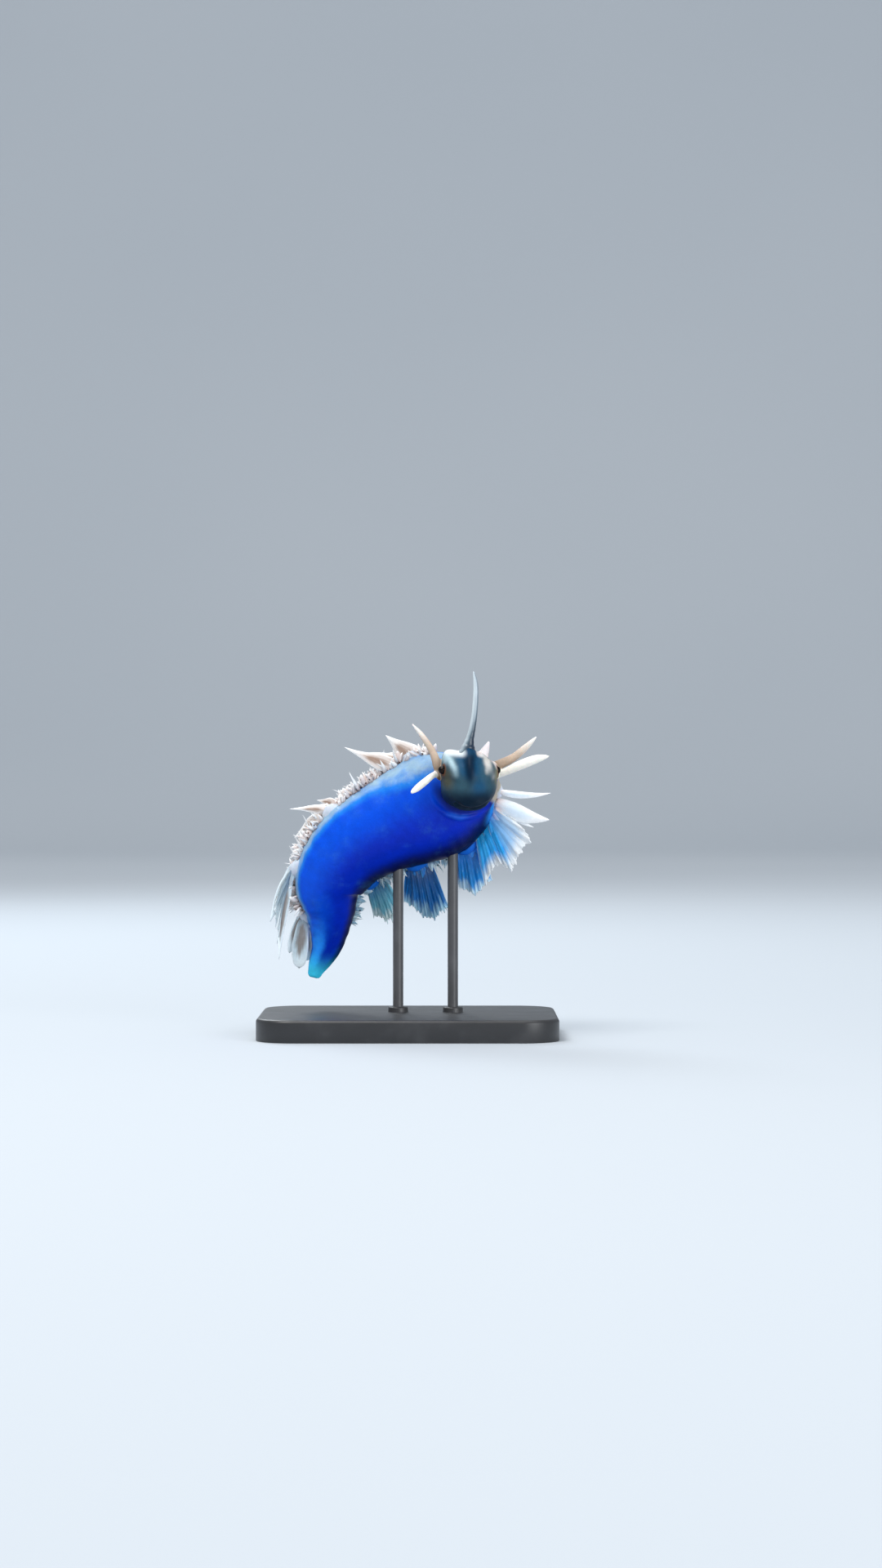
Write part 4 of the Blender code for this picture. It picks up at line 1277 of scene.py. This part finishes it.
def web_finish(name, root, middle, tip, hind=None):
    """A sheet's colours from its foot to its pale edge, in soft streaks, and those of the fan's hind part."""
    material, tree, shader = new_finish(
        name, 0.38, Coat_Weight=0.2, Coat_Roughness=0.25, Subsurface_Weight=0.35, Subsurface_Scale=0.0012,
        Subsurface_Radius=(1, 1, 1), IOR=1.36
    )
    reach, across = attribute(tree, "reach"), attribute(tree, "across")
    streak_at = put(tree, "ShaderNodeCombineXYZ", {0: across, 1: sum_up(tree, "MULTIPLY", reach, 0.35), 2: 0.0})
    streaks = put(tree, "ShaderNodeTexNoise", {"Vector": streak_at.outputs[0], "Scale": 6.0, "Detail": 5.0}).outputs[0]
    colour = layered(tree, root, streaks, ((reach, middle, 0.1, 0.75, 0.6),))
    if hind:
        colour = mix(tree, hind_mask(tree, reach), colour, hind)
    fine = put(tree, "ShaderNodeTexNoise", {"Vector": streak_at.outputs[0], "Scale": 22.0, "Detail": 3.0}).outputs[0]
    for value, low, high, broken in ((reach, 0.72, 1.02, 0.9), (fine, 0.6, 0.95, 0.3)):
        soft = put(tree, "ShaderNodeGroup", {"Mask": value, "Noise": streaks, "Break": broken, "Low": low, "High": high}, node_tree=SOFT_MASK)
        colour = mix(tree, soft.outputs["Mask"], colour, tip)
    place_in = put(tree, "ShaderNodeTexCoord").outputs["Object"]
    coat_over(tree, shader, place_in, colour, 1300.0, 0.3, 0.00004, 0.4)
    return material


def frill_finish(name, base, pale, root, spots, tip):
    material, tree, shader = new_finish(
        name, 0.42, Coat_Weight=0.25, Coat_Roughness=0.3, Subsurface_Weight=0.2, Subsurface_Scale=0.0005,
        Subsurface_Radius=(1, 1, 1), IOR=1.36
    )
    reach, tint = attribute(tree, "reach"), attribute(tree, "tint")
    place_in = put(tree, "ShaderNodeTexCoord").outputs["Object"]
    noise = put(tree, "ShaderNodeTexNoise", {"Vector": place_in, "Scale": 1500.0, "Detail": 3.0}).outputs[0]
    low_down = sum_up(tree, "SUBTRACT", 1.0, reach)
    pits = put(tree, "ShaderNodeTexVoronoi", {"Vector": place_in, "Scale": 1300.0}).outputs[0]
    dots = sum_up(tree, "SUBTRACT", 1.0, pits)
    colour = layered(
        tree,
        base,
        noise,
        (
            (tint, pale, 0.35, 0.8, 0.5),
            (low_down, root, 0.45, 0.95, 0.5),
            (dots, spots, 0.74, 0.9, 0.35),
            (reach, tip, 0.7, 1.0, 0.3),
        ),
    )
    coat_over(tree, shader, place_in, colour, 2000.0, 0.4, 0.00006, 0.6)
    return material


def eye_finish():
    material, tree, shader = new_finish("eye_black", 0.3, Coat_Weight=0.12, Coat_Roughness=0.05, Specular_IOR_Level=0.12, IOR=1.45)
    place_in = put(tree, "ShaderNodeTexCoord").outputs["Object"]
    noise = put(tree, "ShaderNodeTexNoise", {"Vector": place_in, "Scale": 5000.0, "Detail": 3.0}).outputs[0]
    ahead = attribute(tree, "ahead")
    outside = sum_up(tree, "SUBTRACT", 1.0, ahead)
    colour = layered(
        tree,
        srgb(3, 3, 4),
        noise,
        ((outside, srgb(30, 15, 8), 0.3, 0.5, 0.15), (outside, srgb(5, 4, 5), 0.55, 0.75, 0.1)),
    )
    coat_over(tree, shader, place_in, colour, 6000.0, 0.3, 0.00001, 0.1)
    return material


def paint_finish():
    material, tree, shader = new_finish("stand_black", 0.42, Coat_Weight=0.15, Coat_Roughness=0.3)
    place_in = put(tree, "ShaderNodeTexCoord").outputs["Object"]
    noise = put(tree, "ShaderNodeTexNoise", {"Vector": place_in, "Scale": 260.0, "Detail": 5.0}).outputs[0]
    edge = put(tree, "ShaderNodeNewGeometry").outputs["Pointiness"]
    colour = layered(tree, srgb(34, 35, 38), noise, ((noise, srgb(46, 47, 50), 0.45, 0.8, 0.2), (edge, srgb(84, 85, 88), 0.53, 0.62, 0.06)))
    coat_over(tree, shader, place_in, colour, 5200.0, 0.3, 0.00003, 0.35)
    rough = put(tree, "ShaderNodeMapRange", {"Value": noise, "To Min": 0.34, "To Max": 0.52}).outputs[0]
    tree.links.new(rough, shader.inputs["Roughness"])
    return material


def floor_finish():
    material, tree, shader = new_finish("studio_floor", 0.85)
    place_in = put(tree, "ShaderNodeTexCoord").outputs["Object"]
    cloud = put(tree, "ShaderNodeTexNoise", {"Vector": place_in, "Scale": 3.0, "Detail": 1.0}).outputs[0]
    colour = mix(tree, cloud, srgb(180, 188, 196), srgb(188, 195, 202))
    tree.links.new(colour, shader.inputs["Base Color"])
    return material


# Setting


def make_backdrop(finish):
    """A pale floor that curves up into a backdrop."""
    deselect()
    bpy.ops.mesh.primitive_grid_add(x_subdivisions=4, y_subdivisions=60, size=1)
    sheet = bpy.context.object
    sheet.name = sheet.data.name = "studio_backdrop"
    co = places(sheet)
    way = (co[:, 1] + 0.5) * 4.2
    turn = np.clip((way - 2.6) / 0.6, 0, math.pi / 2)
    past = np.maximum(way - 2.6 - 0.6 * math.pi / 2, 0)
    y = -1.4 + np.minimum(way, 2.6) + 0.6 * np.sin(turn)
    z = 0.6 * (1 - np.cos(turn)) + past
    place(sheet, np.stack([co[:, 0] * 5, y, z], 1))
    sheet.data.materials.append(finish)
    sheet.data.shade_smooth()


def add_light(name, spot_at, aim, size, energy, colour=(1, 1, 1)):
    lamp = bpy.data.lights.new(name, "AREA")
    lamp.size = size
    lamp.energy = energy
    lamp.color = colour
    ob = bpy.data.objects.new(name, lamp)
    ob.location = spot_at
    ob.rotation_euler = (Vector(aim) - Vector(spot_at)).to_track_quat("-Z", "Y").to_euler()
    bpy.context.scene.collection.objects.link(ob)


def add_camera():
    lens = bpy.data.cameras.new("view")
    lens.sensor_fit = "VERTICAL"
    lens.sensor_height = 36
    lens.lens = 71.6
    lens.clip_start = 0.01
    camera = bpy.data.objects.new("view", lens)
    camera.location = (0.0044, -0.42, 0.0338)
    camera.rotation_euler = (math.pi / 2, 0, 0)
    bpy.context.scene.collection.objects.link(camera)
    bpy.context.scene.camera = camera


def light_scene():
    middle = (0.0, 0.0, 0.028)
    add_light("key", (-0.2, -0.26, 0.52), middle, 0.26, 2.4, (1.0, 0.98, 0.95))
    add_light("fill", (0.36, -0.44, 0.1), middle, 0.3, 1.9, (0.96, 0.98, 1.0))
    add_light("rim", (-0.16, 0.36, 0.34), middle, 0.2, 1.0, (0.9, 0.96, 1.0))
    add_light("backdrop", (0.0, 0.2, 1.5), (0.0, 1.5, 0.5), 1.2, 13.0)
    world = bpy.data.worlds.new("studio_air")
    world.use_nodes = True
    world.node_tree.nodes["Background"].inputs[0].default_value = (0.86, 0.9, 0.95, 1)
    world.node_tree.nodes["Background"].inputs[1].default_value = 0.55
    bpy.context.scene.world = world
    bpy.context.scene.view_settings.view_transform = "Standard"


def ready(piece, slot, *nodes):
    """Lets a finished piece ride with the part, and hides the parts that it stands in for."""
    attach(piece, "root")
    if nodes:
        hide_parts(*nodes)


SOFT_MASK = soft_mask_group()
MOTTLE = mottle_group()
LEADING = finger_pattern("leading_pattern", 16, 26)
LESSER = finger_pattern("lesser_pattern", 12, 14)
SMALL = finger_pattern("bud_pattern", 8, 6)

CERATA_FINISHES = {
    "bright": cerata_finish("cerata_bright", srgb(224, 196, 192), srgb(232, 240, 247), srgb(252, 252, 252), srgb(168, 206, 238), 0.3, srgb(252, 252, 252), srgb(70, 176, 252)),
    "deep": cerata_finish("cerata_deep", srgb(0, 72, 138), srgb(18, 114, 194), srgb(190, 226, 242), srgb(4, 66, 136), 0.4, srgb(84, 168, 222)),
    "azure": cerata_finish("cerata_azure", srgb(10, 104, 212), srgb(36, 140, 236), srgb(214, 238, 250), srgb(12, 96, 200), 0.35, srgb(110, 188, 250)),
    "teal": cerata_finish("cerata_teal", srgb(40, 110, 156), srgb(104, 176, 198), srgb(214, 236, 238), srgb(40, 90, 128), 0.4, srgb(190, 224, 230)),
    "cream": cerata_finish("cerata_cream", srgb(206, 184, 176), srgb(222, 212, 206), srgb(244, 244, 242), srgb(140, 104, 78), 0.8, srgb(246, 248, 248)),
    "ice": cerata_finish("cerata_ice", srgb(150, 166, 180), srgb(196, 216, 226), srgb(232, 244, 250), srgb(122, 108, 100), 0.85, srgb(238, 248, 254), core_from=0.08),
}
WEB_FINISHES = {
    "bright": web_finish("web_bright", srgb(190, 220, 248), srgb(222, 238, 250), srgb(252, 254, 254), srgb(36, 170, 255)),
    "deep": web_finish("web_deep", srgb(0, 66, 124), srgb(12, 104, 182), srgb(164, 212, 236)),
    "azure": web_finish("web_azure", srgb(4, 106, 196), srgb(24, 140, 226), srgb(200, 232, 248)),
    "teal": web_finish("web_teal", srgb(44, 118, 166), srgb(110, 184, 206), srgb(216, 238, 240)),
    "ice": web_finish("web_ice", srgb(104, 128, 150), srgb(150, 170, 182), srgb(226, 240, 246)),
}

skin = make_skin()
skin.data.materials.append(skin_finish())
ready(
    skin, "body_blue",
    "tail", "torso_rear", "torso_mid", "torso_front", "head", "rhinophore_right", "rhinophore_left",
    "oral_tentacle_right", "oral_tentacle_left",
)

horn = make_horn()
horn.data.materials.append(horn_finish())
ready(horn, "horn_white", "horn")

eye_look = eye_finish()
for side, mirror in (("right", False), ("left", True)):
    eye = make_eye("eyeball_" + side, mirror)
    eye.data.materials.append(eye_look)
    ready(eye, "eye_black", "eye_" + side)

for name, row in ARMS.items():
    ready(make_cerata(name, row, CERATA_FINISHES[row[5]]), "ceras_white", "arm_" + name)
for name, lie in WEBS.items():
    ready(make_web(name, ARMS[name], *lie, WEB_FINISHES[ARMS[name][5]]), "ceras_white")

FRILL_FINISHES = {
    "right": frill_finish(
        "frill_pink", srgb(222, 208, 204), srgb(232, 234, 236), srgb(168, 140, 132), srgb(96, 62, 48), srgb(240, 244, 246)
    ),
    "left": frill_finish(
        "frill_blue", srgb(150, 190, 214), srgb(196, 218, 226), srgb(52, 104, 160), srgb(40, 60, 84), srgb(220, 236, 240)
    ),
}
for side, finish in FRILL_FINISHES.items():
    ready(make_frill(side, finish), "ceras_white")

paint = paint_finish()
plate = make_plate()
plate.data.materials.append(paint)
ready(plate, "stand_black", "stand_base")
for i, (x, y) in enumerate(ROD_PLACES, 1):
    rod = make_rod(i, x, y)
    rod.data.materials.append(paint)
    ready(rod, "stand_black", f"stand_rod_{i}")

make_backdrop(floor_finish())
light_scene()
add_camera()
